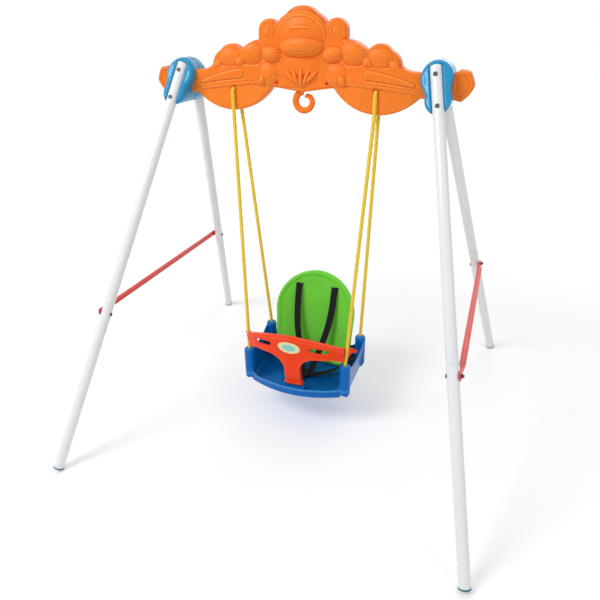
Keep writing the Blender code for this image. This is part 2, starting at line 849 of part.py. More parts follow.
def strand_line(side, end):
    """The straight strand: its point at the lobe's lower edge and its point at the top of the seat's post."""
    upper = Vector((side * LOBE_X, end * ROPE_FACE_Y, LOBE_BOTTOM))
    lower = Vector((side * POST_X, POST_FRONT_Y if end < 0 else POST_REAR_Y, POST_TOP))
    return upper, lower


def strand_direction(side, end):
    upper, lower = strand_line(side, end)
    return (upper - lower).normalized()


def make_rope_loop(side, side_name):
    """The stretch that flexes: up one face of the lobe, through its hole and down the other."""
    inner = BEAM_HALF + GAP + ROPE_RADIUS - ROPE_BEND
    turns = [pi / 2 * k / 4 for k in range(1, 5)]
    front = []
    for end in (-1, 1):
        upper, _ = strand_line(side, end)
        free = upper - strand_direction(side, end) * ROPE_FREE
        bend = [
            Vector(
                (
                    side * LOBE_X,
                    end * (inner + ROPE_BEND * cos(t)),
                    ROPE_HOLE_Z - ROPE_BEND + ROPE_BEND * sin(t),
                )
            )
            for t in turns
        ]
        below = Vector((side * LOBE_X, end * ROPE_FACE_Y, ROPE_HOLE_Z - ROPE_BEND))
        half = [free, upper, below] + bend
        front = front + (half if end < 0 else list(reversed(half)))
    piece(f"rope_loop_{side_name}", rope(front), YELLOW, FRAME, None, 0.8)


def make_strand(side, end, name):
    upper, lower = strand_line(side, end)
    along = strand_direction(side, end)
    top = upper - along * (ROPE_FREE + GAP)
    foot = lower - along * (POST_BOSS / along.z)
    piece(f"rope_{name}", rope([top, foot]), YELLOW, SWING, None, 0.8)
    knot_place = foot - along * (KNOT_RADIUS + GAP)
    knot = ball((0, 0, 0), (KNOT_RADIUS,) * 3, 0, 10, 6)
    piece(f"rope_knot_{name}", knot, YELLOW, SWING, Matrix.Translation(knot_place), 0.8)


# Seat pan


def pan_plan(inset, z):
    """A ring of the pan's plan: straight sides and rear, round corners and a bowed front."""
    half = POST_X + POST_RADIUS - inset
    rear = POST_REAR_Y + POST_RADIUS - inset
    front = POST_FRONT_Y - POST_RADIUS + inset
    corner = max(0.006, PAN_CORNER - inset)
    ring = []
    for centre, start in (
        ((half - corner, rear - corner), 0),
        ((-half + corner, rear - corner), pi / 2),
        ((-half + corner, front + corner), pi),
    ):
        for k in range(6):
            t = start + pi / 2 * k / 5
            ring.append((centre[0] + corner * cos(t), centre[1] + corner * sin(t), z))
    span = half - corner
    for k in range(1, 12):
        x = -span + 2 * span * k / 12
        ring.append((x, front - PAN_BOW * (1 - (x / span) ** 2), z))
    for k in range(6):
        t = 3 * pi / 2 + pi / 2 * k / 5
        ring.append((half - corner + corner * cos(t), front + corner + corner * sin(t), z))
    return ring


def make_pan():
    top = SIDE_TOP
    foot = PAN_TAPER
    outer = loft(
        [
            pan_plan(foot + PAN_ROUND, PAN_BOTTOM),
            pan_plan(foot + PAN_ROUND / 3, PAN_BOTTOM + PAN_ROUND / 3),
            pan_plan(foot, PAN_BOTTOM + PAN_ROUND),
            pan_plan(PAN_TOP_INSET, top),
        ]
    )
    pan = piece("seat_pan", outer, BLUE, SWING, None, 0.3)
    hollow = loft(
        [
            pan_plan(foot + PAN_ROUND + PAN_WALL, FLOOR_TOP),
            pan_plan(foot + PAN_WALL, FLOOR_TOP + PAN_ROUND),
            pan_plan(PAN_TOP_INSET + PAN_WALL, top + PAN_OVER),
        ]
    )
    combine(pan, cutter("pan_hollow", hollow))
    combine(pan, cutter("pan_front_cut", front_plate(lip_window(LIP_TOP), -0.4, POST_FRONT_Y + POST_RADIUS)))
    combine(pan, cutter("pan_rear_cut", front_plate(lip_window(REAR_TOP), POST_REAR_Y - POST_RADIUS, 0.4)))
    low, high = POST_FRONT_Y + POST_RADIUS, POST_REAR_Y - POST_RADIUS
    dip = arc_outline(
        [(low, top, -SIDE_DIP), (high, top, 0), (high, top + 0.05, 0), (low, top + 0.05, 0)]
    )
    combine(pan, cutter("pan_side_dip", side_plate(dip, -0.3, 0.3)))
    make_saddle(pan)
    for side, end, name in CORNERS:
        y = POST_FRONT_Y if end < 0 else POST_REAR_Y
        dome = POST_RADIUS * 0.35
        post = turned(
            [
                (0, POST_TOP),
                (POST_RADIUS - dome, POST_TOP),
                (POST_RADIUS - dome * 0.3, POST_TOP - dome * 0.3),
                (POST_RADIUS, POST_TOP - dome),
                (POST_RADIUS, PAN_BOTTOM + 0.022),
                (POST_RADIUS - 0.006, PAN_BOTTOM + 0.006),
                (POST_RADIUS - 0.008, PAN_BOTTOM + 0.002),
                (0, PAN_BOTTOM + 0.002),
            ],
            16,
        )
        combine(pan, cutter(f"post_{name}", post, Matrix.Translation((side * POST_X, y, 0))), "UNION")
    for side, end, name in CORNERS:
        upper, lower = strand_line(side, end)
        along = strand_direction(side, end)
        turn = along.to_track_quat("Z", "Y").to_matrix().to_4x4()
        drill = rod(ROPE_RADIUS + GAP, -2 * POST_BOSS, 2 * POST_BOSS, 12)
        combine(pan, cutter(f"rope_way_{name}", drill, Matrix.Translation(lower) @ turn))
        knot = lower - along * (POST_BOSS / along.z)
        room = rod(POST_HOLLOW, PAN_BOTTOM - 0.02, POST_TOP - POST_BOSS, 12)
        combine(pan, cutter(f"knot_room_{name}", room, Matrix.Translation((knot.x, knot.y, 0))))


def make_saddle(pan):
    """The hollow step behind the front lip that the guard's stem stands on."""
    front = POST_FRONT_Y - POST_RADIUS - PAN_BOW + PAN_TAPER
    for name, inset, top, operation in (
        ("saddle", 0, LIP_TOP, "UNION"),
        ("saddle_hollow", SADDLE_WALL, LIP_TOP - SADDLE_WALL, "DIFFERENCE"),
    ):
        half = SADDLE_HALF_WIDTH - inset
        bow = PAN_BOW * (half / POST_X) ** 2
        far = SADDLE_REAR_Y - inset
        levels = [(PAN_BOTTOM + PAN_FLOOR / 2, SADDLE_TOE), (PAN_BOTTOM + SADDLE_TOE, PAN_WALL / 2), (top, 0)]
        if inset:
            levels = [(PAN_BOTTOM - PAN_FLOOR, SADDLE_TOE)] + levels
        rings = []
        for z, back in levels:
            near = front + back + 2 * inset
            rings.append(
                [(-half, near + bow, z), (0, near, z), (half, near + bow, z), (half, far, z), (-half, far, z)]
            )
        combine(pan, cutter(name, loft(rings)), operation)


def lip_window(low):
    """What is cut away above a low front or rear wall: a window with filleted lower corners."""
    half = POST_X - POST_RADIUS * 0.4
    top = SIDE_TOP + 0.05
    r = min(LIP_FILLET, SIDE_TOP - low)
    right = [(half - r + r * sin(t), low + r - r * cos(t)) for t in (pi / 2 * k / 6 for k in range(7))]
    right = [(0, low)] + right + [(half, top), (0, top)]
    return mirrored_outline(right)


# Backrest


def back_outline(inset, low=0.0):
    """The arched outline, in the backrest's own frame, with Z from its foot."""
    spring = BACK_HEIGHT - BACK_HALF_WIDTH
    radius = BACK_HALF_WIDTH - inset
    arch = [(radius * cos(t), spring + radius * sin(t)) for t in (pi / 2 * k / 14 for k in range(15))]
    right = [(0, low), (BACK_FOOT_HALF_WIDTH - inset - 0.006, low), (BACK_FOOT_HALF_WIDTH - inset, low + 0.006)]
    return mirrored_outline(right + arch)


def back_band(front, rear):
    """A wall that wraps forward at the sides, between two distances behind the backrest's front face."""
    curve = []
    for x in [BACK_HALF_WIDTH * 1.1 * k / 8 for k in range(-8, 9)]:
        curve.append((x, -BACK_WRAP * (x / BACK_HALF_WIDTH) ** 2))
    outline = [(x, y + front) for x, y in curve] + [(x, y + rear) for x, y in reversed(curve)]
    return plate(outline, -0.02, BACK_HEIGHT + 0.02)


def back_matrix():
    foot = Matrix.Translation((0, BACK_FOOT_Y, FLOOR_TOP + GAP + BACK_DEPTH * sin(BACK_LEAN)))
    return foot @ Matrix.Rotation(-BACK_LEAN, 4, "X")


def shaped(name, mesh, outline, near, far, matrix):
    """A cutter made of a wall trimmed to an outline seen from the front."""
    made = cutter(name, mesh, matrix)
    combine(made, cutter(f"{name}_outline", front_plate(outline, near, far), matrix), "INTERSECT")
    return made


def make_backrest():
    place = back_matrix()
    rest = piece("backrest", back_band(0, BACK_DEPTH), GREEN, SWING, place, 0.35)
    combine(rest, cutter("back_outline", front_plate(back_outline(0), -0.1, 0.1), place), "INTERSECT")
    combine(
        rest,
        shaped(
            "back_hollow",
            back_band(BACK_STEP + BACK_SKIN, BACK_DEPTH + 0.01),
            back_outline(BACK_SKIN, BACK_SKIN),
            -0.1,
            0.1,
            place,
        ),
    )
    combine(
        rest,
        shaped("back_panel", back_band(-0.01, BACK_STEP), back_outline(BACK_RIM, BACK_RIM), -0.1, 0.1, place),
    )
    for side, side_name in SIDES:
        slot = [(side * STRAP_SLOT_X + x, strap_slot_z() + y) for x, y in stadium(*STRAP_SLOT, 4)]
        combine(rest, cutter(f"strap_slot_{side_name}", front_plate(slot, -0.1, 0.1), place))


def strap_slot_z():
    return BACK_HEIGHT - STRAP_SLOT_DROP


# Front guard


def guard_rope():
    """The front rope's point and direction at the height of the guard's ends."""
    _, lower = strand_line(1, -1)
    along = strand_direction(1, -1)
    height = (GUARD_END_TOP + GUARD_END_BOTTOM) / 2
    return lower + along * ((height - lower.z) / along.z), along


def guard_band(front, rear):
    """The guard's wall in plan, a bow from rope to rope that turns back beyond them, sheared so its foot lies back."""
    at, _ = guard_rope()
    rise = at.y - GUARD_CENTRE_Y
    radius = (at.x**2 + rise**2) / (2 * rise)
    end_turn = asin(at.x / radius)
    line = []
    for k in range(9):
        t = end_turn * k / 8
        line.append((radius * sin(t), GUARD_CENTRE_Y + radius * (1 - cos(t)), t))
    tip_turn = atan2(GUARD_TIP[1] - at.y, GUARD_TIP[0] - at.x)
    for k in range(1, 4):
        s = k / 3
        line.append((at.x + (GUARD_TIP[0] - at.x) * s, at.y + (GUARD_TIP[1] - at.y) * s, tip_turn))
    half = []
    for sign in (front, rear):
        half.append([(x + sign * -sin(t), y + sign * cos(t)) for x, y, t in line])
    outer, inner = half
    outline = [(-x, y) for x, y in reversed(outer[1:])] + outer
    outline += list(reversed(inner)) + [(-x, y) for x, y in inner[1:]]
    mesh = plate(outline, LIP_TOP - 0.02, GUARD_TOP + 0.02)
    middle = (GUARD_END_TOP + GUARD_END_BOTTOM) / 2
    for corner in mesh.vertices:
        corner.co.y -= GUARD_SHEAR * (corner.co.z - middle)
    return mesh


def guard_outline(inset):
    """The T from the front, inset all round by a wall's thickness."""
    foot = LIP_TOP + GAP + inset
    tip_x = GUARD_TIP[0] + 0.008 - inset
    end_x = POST_X
    right = arc_outline(
        [
            (0, foot, 0),
            (STEM_FOOT_HALF_WIDTH - inset, foot, 0),
            (STEM_FOOT_HALF_WIDTH - inset, foot + STEM_FOOT_HEIGHT, 0),
            (STEM_HALF_WIDTH - inset, foot + STEM_FOOT_HEIGHT + 0.006, 0),
            (STEM_HALF_WIDTH - inset, STEM_FILLET_TOP, 0.018),
            (GUARD_ARCH_X - 0.030, GUARD_ARCH_TOP + inset, 0),
            (GUARD_ARCH_X + 0.006, GUARD_ARCH_TOP + inset, 0.002),
            (end_x, GUARD_END_BOTTOM + inset, -0.002),
            (tip_x, (GUARD_END_BOTTOM + GUARD_END_TOP) / 2, -0.006),
            (end_x, GUARD_END_TOP - inset, -0.010),
            (0, GUARD_TOP - inset, 0),
        ],
        closed=False,
    )
    return mirrored_outline(right)


def make_guard():
    half = GUARD_THICKNESS / 2
    guard = piece("t_bar", guard_band(-half, half), RED, GUARD, None, 0.3)
    combine(guard, cutter("guard_outline", front_plate(guard_outline(0), -0.4, 0.1)), "INTERSECT")
    hollow = shaped(
        "guard_hollow",
        guard_band(-half + GUARD_SKIN, half + 0.02),
        guard_outline(GUARD_SKIN),
        -0.4,
        0.1,
        Matrix(),
    )
    combine(
        hollow,
        cutter("guard_hollow_reach", box((-POST_X + 0.03, -0.4, 0), (POST_X - 0.03, 0.1, 1))),
        "INTERSECT",
    )
    combine(guard, hollow)
    for side, side_name in SIDES:
        tilt = Matrix.Translation((side * FINGER_SLOT_X, 0, FINGER_SLOT_Z)) @ Matrix.Rotation(
            side * FINGER_SLOT_TILT, 4, "Y"
        )
        combine(
            guard,
            cutter(f"finger_slot_{side_name}", front_plate(stadium(*FINGER_SLOT), -0.4, 0.1), tilt),
        )
        combine(guard, cutter(f"rope_notch_{side_name}", rope_notch(side)))
    make_label()


def rope_notch(side):
    """The way for the front rope, open to the front. It widens outwards, because the ropes spread higher up."""
    at, along = guard_rope()
    spread = GUARD_TRAVEL * along.x / along.z
    rise = 0.06
    reach = ROPE_RADIUS + ROPE_PLAY
    rings = []
    for level in (-rise, rise):
        x = at.x + along.x / along.z * level
        y = at.y + along.y / along.z * level
        near, far = side * (x - reach), side * (x + reach + spread)
        left, right = sorted((near, far))
        z = at.z + level
        rings.append([(left, y - 0.08, z), (right, y - 0.08, z), (right, y + reach, z), (left, y + reach, z)])
    return loft(rings)


def make_label():
    """An oval sticker that follows the guard's front face."""
    half = GUARD_THICKNESS / 2
    front = -half - GAP
    label = piece("t_bar_label", guard_band(front - LABEL_THICKNESS, front), CREAM, GUARD, None, 0.4)
    outline = [(x, z + LABEL_Z) for x, z in oval(*LABEL_SEMI_AXES, 28)]
    combine(label, cutter("label_outline", front_plate(outline, -0.4, 0.1)), "INTERSECT")


# Harness


def back_point(x, z, behind):
    """A point of the backrest, given in its own frame as a distance behind its front face."""
    return back_matrix() @ Vector((x, behind - BACK_WRAP * (x / BACK_HALF_WIDTH) ** 2, z))


def pan_inner_x(z):
    """Where the pan's side wall has its inner face at this height."""
    low, high = FLOOR_TOP + PAN_ROUND, SIDE_TOP + PAN_OVER
    share = (z - low) / (high - low)
    return POST_X + POST_RADIUS - PAN_WALL - PAN_TAPER + (PAN_TAPER - PAN_TOP_INSET) * share


def make_buckle():
    half_x, half_y = BUCKLE_SIZE[0] / 2, BUCKLE_SIZE[1] / 2
    bottom = FLOOR_TOP + BUCKLE_CLEAR
    low = (-half_x, BUCKLE_Y - half_y, bottom)
    high = (half_x, BUCKLE_Y + half_y, bottom + BUCKLE_SIZE[2])
    buckle = piece("buckle", box(low, high), BLACK, SWING, None, 0.4)
    edge = buckle.modifiers.new("Bevel", "BEVEL")
    edge.width = BUCKLE_ROUND
    edge.segments = 2


def make_harness():
    """The straps, which all meet the buckle halfway up its sides."""
    make_buckle()
    middle = FLOOR_TOP + BUCKLE_CLEAR + BUCKLE_SIZE[2] / 2
    rear = BUCKLE_Y + BUCKLE_SIZE[1] / 2 + GAP
    front = BUCKLE_Y - BUCKLE_SIZE[1] / 2 - GAP
    lying = FLOOR_TOP + STRAP_THICKNESS / 2 + GAP
    slot_z = strap_slot_z()
    for side, side_name in SIDES:
        x = side * STRAP_SLOT_X
        route = [back_point(x * share, slot_z - drop, BACK_STEP + behind) for share, drop, behind in SHOULDER_ROUTE]
        route += [
            Vector((side * 0.020, rear + 0.022, middle + 0.006)),
            Vector((side * 0.0135, rear, middle)),
        ]
        strap = ribbon(smooth_route(route, 3), (1, 0, 0), STRAP_WIDTH * 0.96)
        piece(f"shoulder_strap_{side_name}", strap, BLACK, SWING, None, 0.8)
        start = (side * (BUCKLE_SIZE[0] / 2 + GAP), BUCKLE_Y, middle)
        wall_z = middle + LAP_RISE
        end = (side * (pan_inner_x(wall_z) - GAP - STRAP_THICKNESS / 2), BUCKLE_Y + 0.072, wall_z)
        route = [start] + [(side * x, BUCKLE_Y + y, middle + z) for x, y, z in LAP_ROUTE] + [end]
        strap = ribbon(smooth_route(route, 3), (0, 1, 0))
        piece(f"lap_strap_{side_name}", strap, BLACK, SWING, None, 0.8)
    route = [
        (0, front, middle),
        (0, front - 0.020, middle + 0.002),
        (0, front - 0.040, lying + 0.001),
        (0, front - 0.055, lying),
    ]
    piece("crotch_strap", ribbon(smooth_route(route, 3), (1, 0, 0)), BLACK, SWING, None, 0.8)


# Assembly

clear_scene()
PARTS = new_collection("child_swing")
CUTTERS = new_collection("cutters")
FRAME = empty("frame", (0, 0, 0))
SWING = empty("swing", (0, 0, LOBE_BOTTOM))
GUARD = empty("guard_slide", (0, 0, GUARD_END_BOTTOM), SWING)
bpy.context.view_layer.update()

FLOOR_CUTTER = cutter("below_floor", box((-1, -1, -0.2), (1, 1, 0)))
NECK_CUTTER = cutter(
    "neck_pocket",
    box((-1, -BEAM_HALF - GAP, NECK_BOTTOM - GAP), (1, BEAM_HALF + GAP, NECK_TOP + GAP)),
)
BRACKET_DRILLS = {}
BRACE_DRILLS = {}
for side, end, name in CORNERS:
    for row in range(2):
        place = leg_matrix(side, end) @ Matrix.Translation((0, 0, -row * BOLT_PITCH))
        BRACKET_DRILLS[side, end, row] = bolt_hole(place, f"bracket_drill_{name}_{row}")
    place = side_matrix(side) @ Matrix.Translation(brace_point(side, end)) @ Matrix.Rotation(pi / 2, 4, "Y")
    BRACE_DRILLS[side, end] = cutter(f"brace_drill_{name}", rod(BOLT_RADIUS + BOLT_PLAY, -0.05, 0.05, 12), place)

make_beam()
for side, side_name in SIDES:
    make_plug(side, side_name)
    make_brace(side, side_name)
    make_rope_loop(side, side_name)
for side, end, name in CORNERS:
    make_bracket(side, end, name)
    make_leg(side, end, name)
    make_strand(side, end, name)
make_pan()
make_backrest()
make_guard()
make_harness()
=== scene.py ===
"""The looks of a toddler's garden swing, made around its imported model.

The frame's A-legs stand on Z = 0, the crossbeam runs along X and the child faces -Y. Lengths are in metres.
"""

from contextlib import contextmanager
from itertools import product
from math import acos, asin, atan2, ceil, cos, hypot, pi, radians, sin, tan

import bmesh
import bpy
import numpy as np
from bpy.props import FloatProperty, FloatVectorProperty, IntProperty, PointerProperty
from mathutils import Matrix, Vector


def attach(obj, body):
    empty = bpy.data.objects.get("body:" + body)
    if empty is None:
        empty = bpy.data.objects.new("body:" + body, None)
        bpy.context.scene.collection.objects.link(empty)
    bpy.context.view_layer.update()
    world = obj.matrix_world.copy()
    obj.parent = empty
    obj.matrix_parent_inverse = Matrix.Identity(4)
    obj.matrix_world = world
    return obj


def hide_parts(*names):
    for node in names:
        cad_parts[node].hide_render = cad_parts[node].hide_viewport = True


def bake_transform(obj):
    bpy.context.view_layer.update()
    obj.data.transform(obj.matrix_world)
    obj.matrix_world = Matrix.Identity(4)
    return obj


bl_info = {
    "name": "Child Swing",
    "version": (1, 0, 0),
    "blender": (4, 5, 0),
    "location": "View3D > Sidebar > Child Swing",
    "description": "Builds the moulded beam, tube frame, ropes, bucket seat and harness of a toddler's swing",
    "category": "Add Mesh",
}

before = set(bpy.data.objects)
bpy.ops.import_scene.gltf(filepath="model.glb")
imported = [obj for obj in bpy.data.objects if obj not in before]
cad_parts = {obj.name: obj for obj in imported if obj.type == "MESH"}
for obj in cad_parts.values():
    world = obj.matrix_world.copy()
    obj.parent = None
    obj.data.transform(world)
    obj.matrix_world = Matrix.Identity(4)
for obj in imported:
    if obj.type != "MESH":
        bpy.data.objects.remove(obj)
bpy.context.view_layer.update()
CLEARANCE = 0.0003  # between pieces that fit or rest on each other
ON_AXIS = 1e-7  # a profile's radius below this lies on its axis

# A-frames
BOLT_HEIGHT = 1.160
BOLT_HALF_SPAN = 0.380
LEG_TOP_OFFSET = 0.042
FOOT_HALF_SPAN = 0.641
FOOT_HALF_DEPTH = 0.619
TUBE_RADIUS = 0.016
TUBE_WALL = 0.0012
TUBE_ABOVE_BOLT = 0.025
BOLT_PITCH = 0.083
BRACE_BOLT_DISTANCE = 0.776
SLEEVE_HALF = 0.030
FOOT_REACH = 0.0130
FOOT_RIM = 0.0040
BRACKET_RIM = 0.008
BRACE_RADIUS = 0.009
BRACE_FLAT = 0.004
BRACE_TIP = 0.013
BRACE_PRESSED = 0.025
BRACE_TAPER = 0.035

# Crossbeam
BEAM_HALF = 0.022
NECK_TOP = 1.166
NECK_BOTTOM = 1.100
LOBE_X = 0.2175
LOBE_BOTTOM = 1.052
ROPE_HOLE_Z = 1.114
ROPE_HOLE_RADIUS = 0.0068
RING_Z = 1.082
RING_RADIUS = 0.026
TAIL_RADIUS = 0.0096
PLUG_X = 0.076
PLUG_Z = 1.134
PLUG_RADIUS = 0.009

# Ropes
ROPE_RADIUS = 0.0055
ROPE_FACE = BEAM_HALF + CLEARANCE + ROPE_RADIUS
ROPE_BEND = 0.010
ROPE_FREE = 0.030
PLAIT_DEPTH = 0.0006
CORD_SIDES = 24
CORD_PLAITS = 4.0

# Seat
POST_X = 0.176
POST_FRONT_Y = -0.108
POST_REAR_Y = 0.097
POST_Y = {-1: POST_FRONT_Y, 1: POST_REAR_Y}
POST_TOP = 0.262
POST_RADIUS = 0.019
POST_BOSS = 0.024
KNOT_ROOM = 0.013
PAN_BOTTOM = 0.127
PAN_WALL = 0.0035
PAN_TAPER = 0.012
PAN_TOP_TAPER = 0.001
PAN_FILLET = 0.012
PAN_BOW = 0.045
PAN_CORNER = 0.020
BEAD_INSET = 0.0105
BEAD_HALF = (0.0038, 0.0034)
GUARD_STEP_HALF = 0.040
GUARD_STEP_REAR = -0.114
FLOOR_TOP = 0.131
LIP_TOP = 0.163
LIP_EDGE_Y = -0.160
SIDE_TOP = 0.246
SIDE_DIP = 0.020
HOLLOW_TOP = SIDE_TOP + 0.02
ABOVE_PAN = SIDE_TOP + 0.05
WINDOW_CORNER = 0.040
REAR_TOP = 0.205
BACK_HALF_WIDTH = 0.150
BACK_HEIGHT = 0.350
BACK_LEAN = radians(12)
BACK_DEPTH = 0.018
BACK_STEP = 0.003
BACK_SKIN = 0.0035
BACK_WRAP = 0.020
STRAP_SLOT_X = 0.068
STRAP_SLOT_Z = 0.294
GUARD_CENTRE_Y = -0.156
GUARD_TIP = (0.200, -0.058)
GUARD_TOP = 0.375
GUARD_END = (0.269, 0.325)
GUARD_HALF_DEPTH = 0.011
GUARD_SHEAR = 0.20
GUARD_TRAVEL = 0.220
LABEL_Z = 0.333
LABEL_SEMI = (0.038, 0.024)
STRAP_WIDTH = 0.025
STRAP_THICKNESS = 0.0019
BUCKLE_SIZE = (0.044, 0.036, 0.013)
BUCKLE_Y = -0.031
BUCKLE_MIDDLE = FLOOR_TOP + 0.004 + BUCKLE_SIZE[2] / 2
STITCH_GAP = 0.0018

SIDE_TILT = atan2(FOOT_HALF_SPAN - BOLT_HALF_SPAN, BOLT_HEIGHT)
SLOPE_LENGTH = hypot(FOOT_HALF_SPAN - BOLT_HALF_SPAN, BOLT_HEIGHT)
LEG_LEAN = atan2(FOOT_HALF_DEPTH - LEG_TOP_OFFSET, SLOPE_LENGTH)
LEG_LENGTH = hypot(FOOT_HALF_DEPTH - LEG_TOP_OFFSET, SLOPE_LENGTH)

SIDES = ((-1, "left"), (1, "right"))
ENDS = ((-1, "front"), (1, "rear"))
CORNERS = [(side, end, f"{end_name}_{side_name}") for side, side_name in SIDES for end, end_name in ENDS]


def colour(name, default):
    return FloatVectorProperty(
        name=name, description=f"{name} colour", default=default, size=3, subtype="COLOR", min=0, max=1
    )


def length(name, description, default):
    return FloatProperty(name=name, description=description, default=default, unit="LENGTH", min=0.0001)


class SwingColours(bpy.types.PropertyGroup):
    """Colours of the swing's mouldings, tubes and ropes."""

    beam: colour("Beam", (0.95, 0.205, 0.012))
    # painted shade: the colour mixed into the beam's creases
    painted_crease_shading: colour("Beam creases", (0.74, 0.095, 0.006))
    bracket: colour("Bracket", (0.008, 0.290, 0.560))
    leg: colour("Leg", (0.84, 0.845, 0.860))
    # darkened as painted shade for the shadow where the caps stand on the floor
    foot: colour("Foot cap", (0.008, 0.160, 0.210))
    brace: colour("Brace", (0.72, 0.030, 0.022))
    steel: colour("Fastener", (0.070, 0.072, 0.080))
    rope: colour("Rope", (0.96, 0.655, 0.028))
    seat: colour("Seat pan", (0.000, 0.140, 0.500))
    back: colour("Backrest", (0.165, 0.700, 0.050))
    guard: colour("Front guard", (0.95, 0.052, 0.002))
    plug: colour("Beam plug", (0.72, 0.020, 0.015))
    webbing: colour("Webbing", (0.0045, 0.0036, 0.0055))
    label_rim: colour("Label rim", (0.80, 0.78, 0.38))
    label_field: colour("Label field", (0.34, 0.62, 0.46))


class SwingSizes(bpy.types.PropertyGroup):
    """Sizes of the swing's visible detail."""

    beam_step: length("Beam mesh step", "Distance between the points of the beam's relief", 0.0021)
    panel_step: length("Panel mesh step", "Distance between the points of the backrest and the guard", 0.0022)
    bracket_step: length("Bracket mesh step", "Distance between the points of a bracket", 0.0018)
    bracket_round: length("Bracket rounding", "How far in a bracket's face is rounded off", 0.010)
    stitch: length("Stitch length", "Length of one stitch in the harness", 0.0032)
    voxel: length("Pan voxel", "Size of the voxels that join the pan with its posts", 0.0024)
    tube_sides: IntProperty(name="Tube sides", description="Facets around a leg", default=64, min=12, max=128)
    braid_turns: FloatProperty(
        name="Braid turns", description="Turns of the rope's braid in a metre", default=42.0, min=1, max=200
    )


def sizes():
    return bpy.context.scene.child_swing_sizes


def colours():
    return bpy.context.scene.child_swing_colours


# Outlines and routes


def full_turn(count):
    return [2 * pi * k / count for k in range(count)]


def quarter(steps):
    return [pi / 2 * k / steps for k in range(steps + 1)]


def circle(radius, height, sides):
    return [(radius * cos(t), radius * sin(t), height) for t in full_turn(sides)]


def arc_points(start, end, rise, fineness=0.00012):
    """Points from start up to end on the arc that stands rise to the left of the chord."""
    if not rise:
        return [start]
    half = hypot(end[0] - start[0], end[1] - start[1]) / 2
    along = ((end[0] - start[0]) / (2 * half), (end[1] - start[1]) / (2 * half))
    radius = (half * half + rise * rise) / (2 * rise)
    centre = (
        (start[0] + end[0]) / 2 - along[1] * (rise - radius),
        (start[1] + end[1]) / 2 + along[0] * (rise - radius),
    )
    sweep = 2 * asin(min(1, half / abs(radius)))
    if abs(rise) > half:
        sweep = 2 * pi - sweep
    count = max(2, ceil(sweep / (2 * acos(1 - fineness / max(abs(radius), 2 * fineness)))))
    turn = -sweep / count if rise > 0 else sweep / count
    x, y = start[0] - centre[0], start[1] - centre[1]
    angles = [turn * k for k in range(count)]
    return [(centre[0] + x * cos(t) - y * sin(t), centre[1] + x * sin(t) + y * cos(t)) for t in angles]


def arc_outline(corners, closed=True):
    """The outline through corners (x, y, rise), each joined to the next by an arc or a line."""
    points = []
    for here, there in zip(corners, corners[1:] + corners[:closed]):
        points += arc_points(here[:2], there[:2], here[2])
    return points if closed else points + [corners[-1][:2]]


def mirrored(half):
    """A closed outline from its half at x >= 0."""
    return half + [(-x, y) for x, y in reversed(half[1:-1])]


def smooth_route(points, steps=10):
    """Points on a smooth curve through the given ones."""
    known = [Vector(p) for p in points]
    known = [2 * known[0] - known[1]] + known + [2 * known[-1] - known[-2]]
    route = []
    for a, b, c, d in zip(known, known[1:], known[2:], known[3:]):
        for k in range(steps):
            t = k / steps
            second, third = 2 * a - 5 * b + 4 * c - d, 3 * b - a - 3 * c + d
            route.append(0.5 * (2 * b + (c - a) * t + second * t**2 + third * t**3))
    return route + [known[-2]]


def headings(route):
    """The direction of a route at each of its points."""
    last = len(route) - 1
    return [(route[min(k + 1, last)] - route[max(k - 1, 0)]).normalized() for k in range(last + 1)]


# Fields over a panel's plane, as arrays


def from_line(points, x, z):
    """The distance of each (x, z) from a line through points."""
    best = np.full(x.shape, 1e9)
    for (ax, az), (bx, bz) in zip(points, points[1:]):
        ex, ez = bx - ax, bz - az
        t = np.clip(((x - ax) * ex + (z - az) * ez) / max(ex * ex + ez * ez, 1e-12), 0, 1)
        best = np.minimum(best, (x - ax - t * ex) ** 2 + (z - az - t * ez) ** 2)
    return np.sqrt(best)


def inside(points, x, z):
    """How far each (x, z) lies inside a closed outline; negative outside it."""
    closed = points + points[:1]
    within = np.zeros(x.shape, bool)
    for (ax, az), (bx, bz) in zip(closed, closed[1:]):
        if az != bz:
            within ^= ((az > z) != (bz > z)) & (x < ax + (z - az) * (bx - ax) / (bz - az))
    return np.where(within, 1, -1) * from_line(closed, x, z)


def tilted(dx, dz, tilt):
    return dx * cos(tilt) - dz * sin(tilt), dx * sin(tilt) + dz * cos(tilt)


def oval_share(x, z, centre, semi, tilt=0.0):
    """0 at an oval's centre and 1 on its edge."""
    u, v = tilted(x - centre[0], z - centre[1], tilt)
    return np.sqrt((u / semi[0]) ** 2 + (v / semi[1]) ** 2)


def off_slot(u, v, half, radius):
    """How far outside a round-ended slot a point lies."""
    return np.hypot(np.maximum(np.abs(u) - half, 0), v) - radius


def soft_max(a, b, soft=0.0012):
    share = np.clip(0.5 + 0.5 * (b - a) / soft, 0, 1)
    return a * (1 - share) + b * share + soft * share * (1 - share)


def with_domes(height, domes, x, z):
    """The height with ellipsoids blended in: centre, half sizes, top and tilt in degrees."""
    for centre, semi, top, tilt in domes:
        share = oval_share(x, z, centre, semi, radians(tilt))
        height = soft_max(height, top * np.sqrt(np.clip(1 - share**2, 0, 1)))
    return height


def step_up(value, at, width):
    """0 below at, 1 above it, and smooth between over this width."""
    t = np.clip((value - at) / width + 0.5, 0, 1)
    return t * t * (3 - 2 * t)


def bell(distance, width, height):
    """A bell-shaped swell beside a line; taken away, it is a groove."""
    return height * np.exp(-((distance / width) ** 2))


def rounded(edge, height, radius):
    """A face at this height whose edge is rounded off."""
    inward = np.clip(edge, 0, radius)
    return height - radius + np.sqrt(radius**2 - (radius - inward) ** 2)


# Meshes


def mesh_of(name, points, faces):
    mesh = bpy.data.meshes.new(name)
    mesh.from_pydata(points, [], faces)
    mesh.update()
    return mesh


@contextmanager
def worked(mesh):
    """The mesh as a BMesh that is written back."""
    work = bmesh.new()
    work.from_mesh(mesh)
    yield work
    work.to_mesh(mesh)
    work.free()


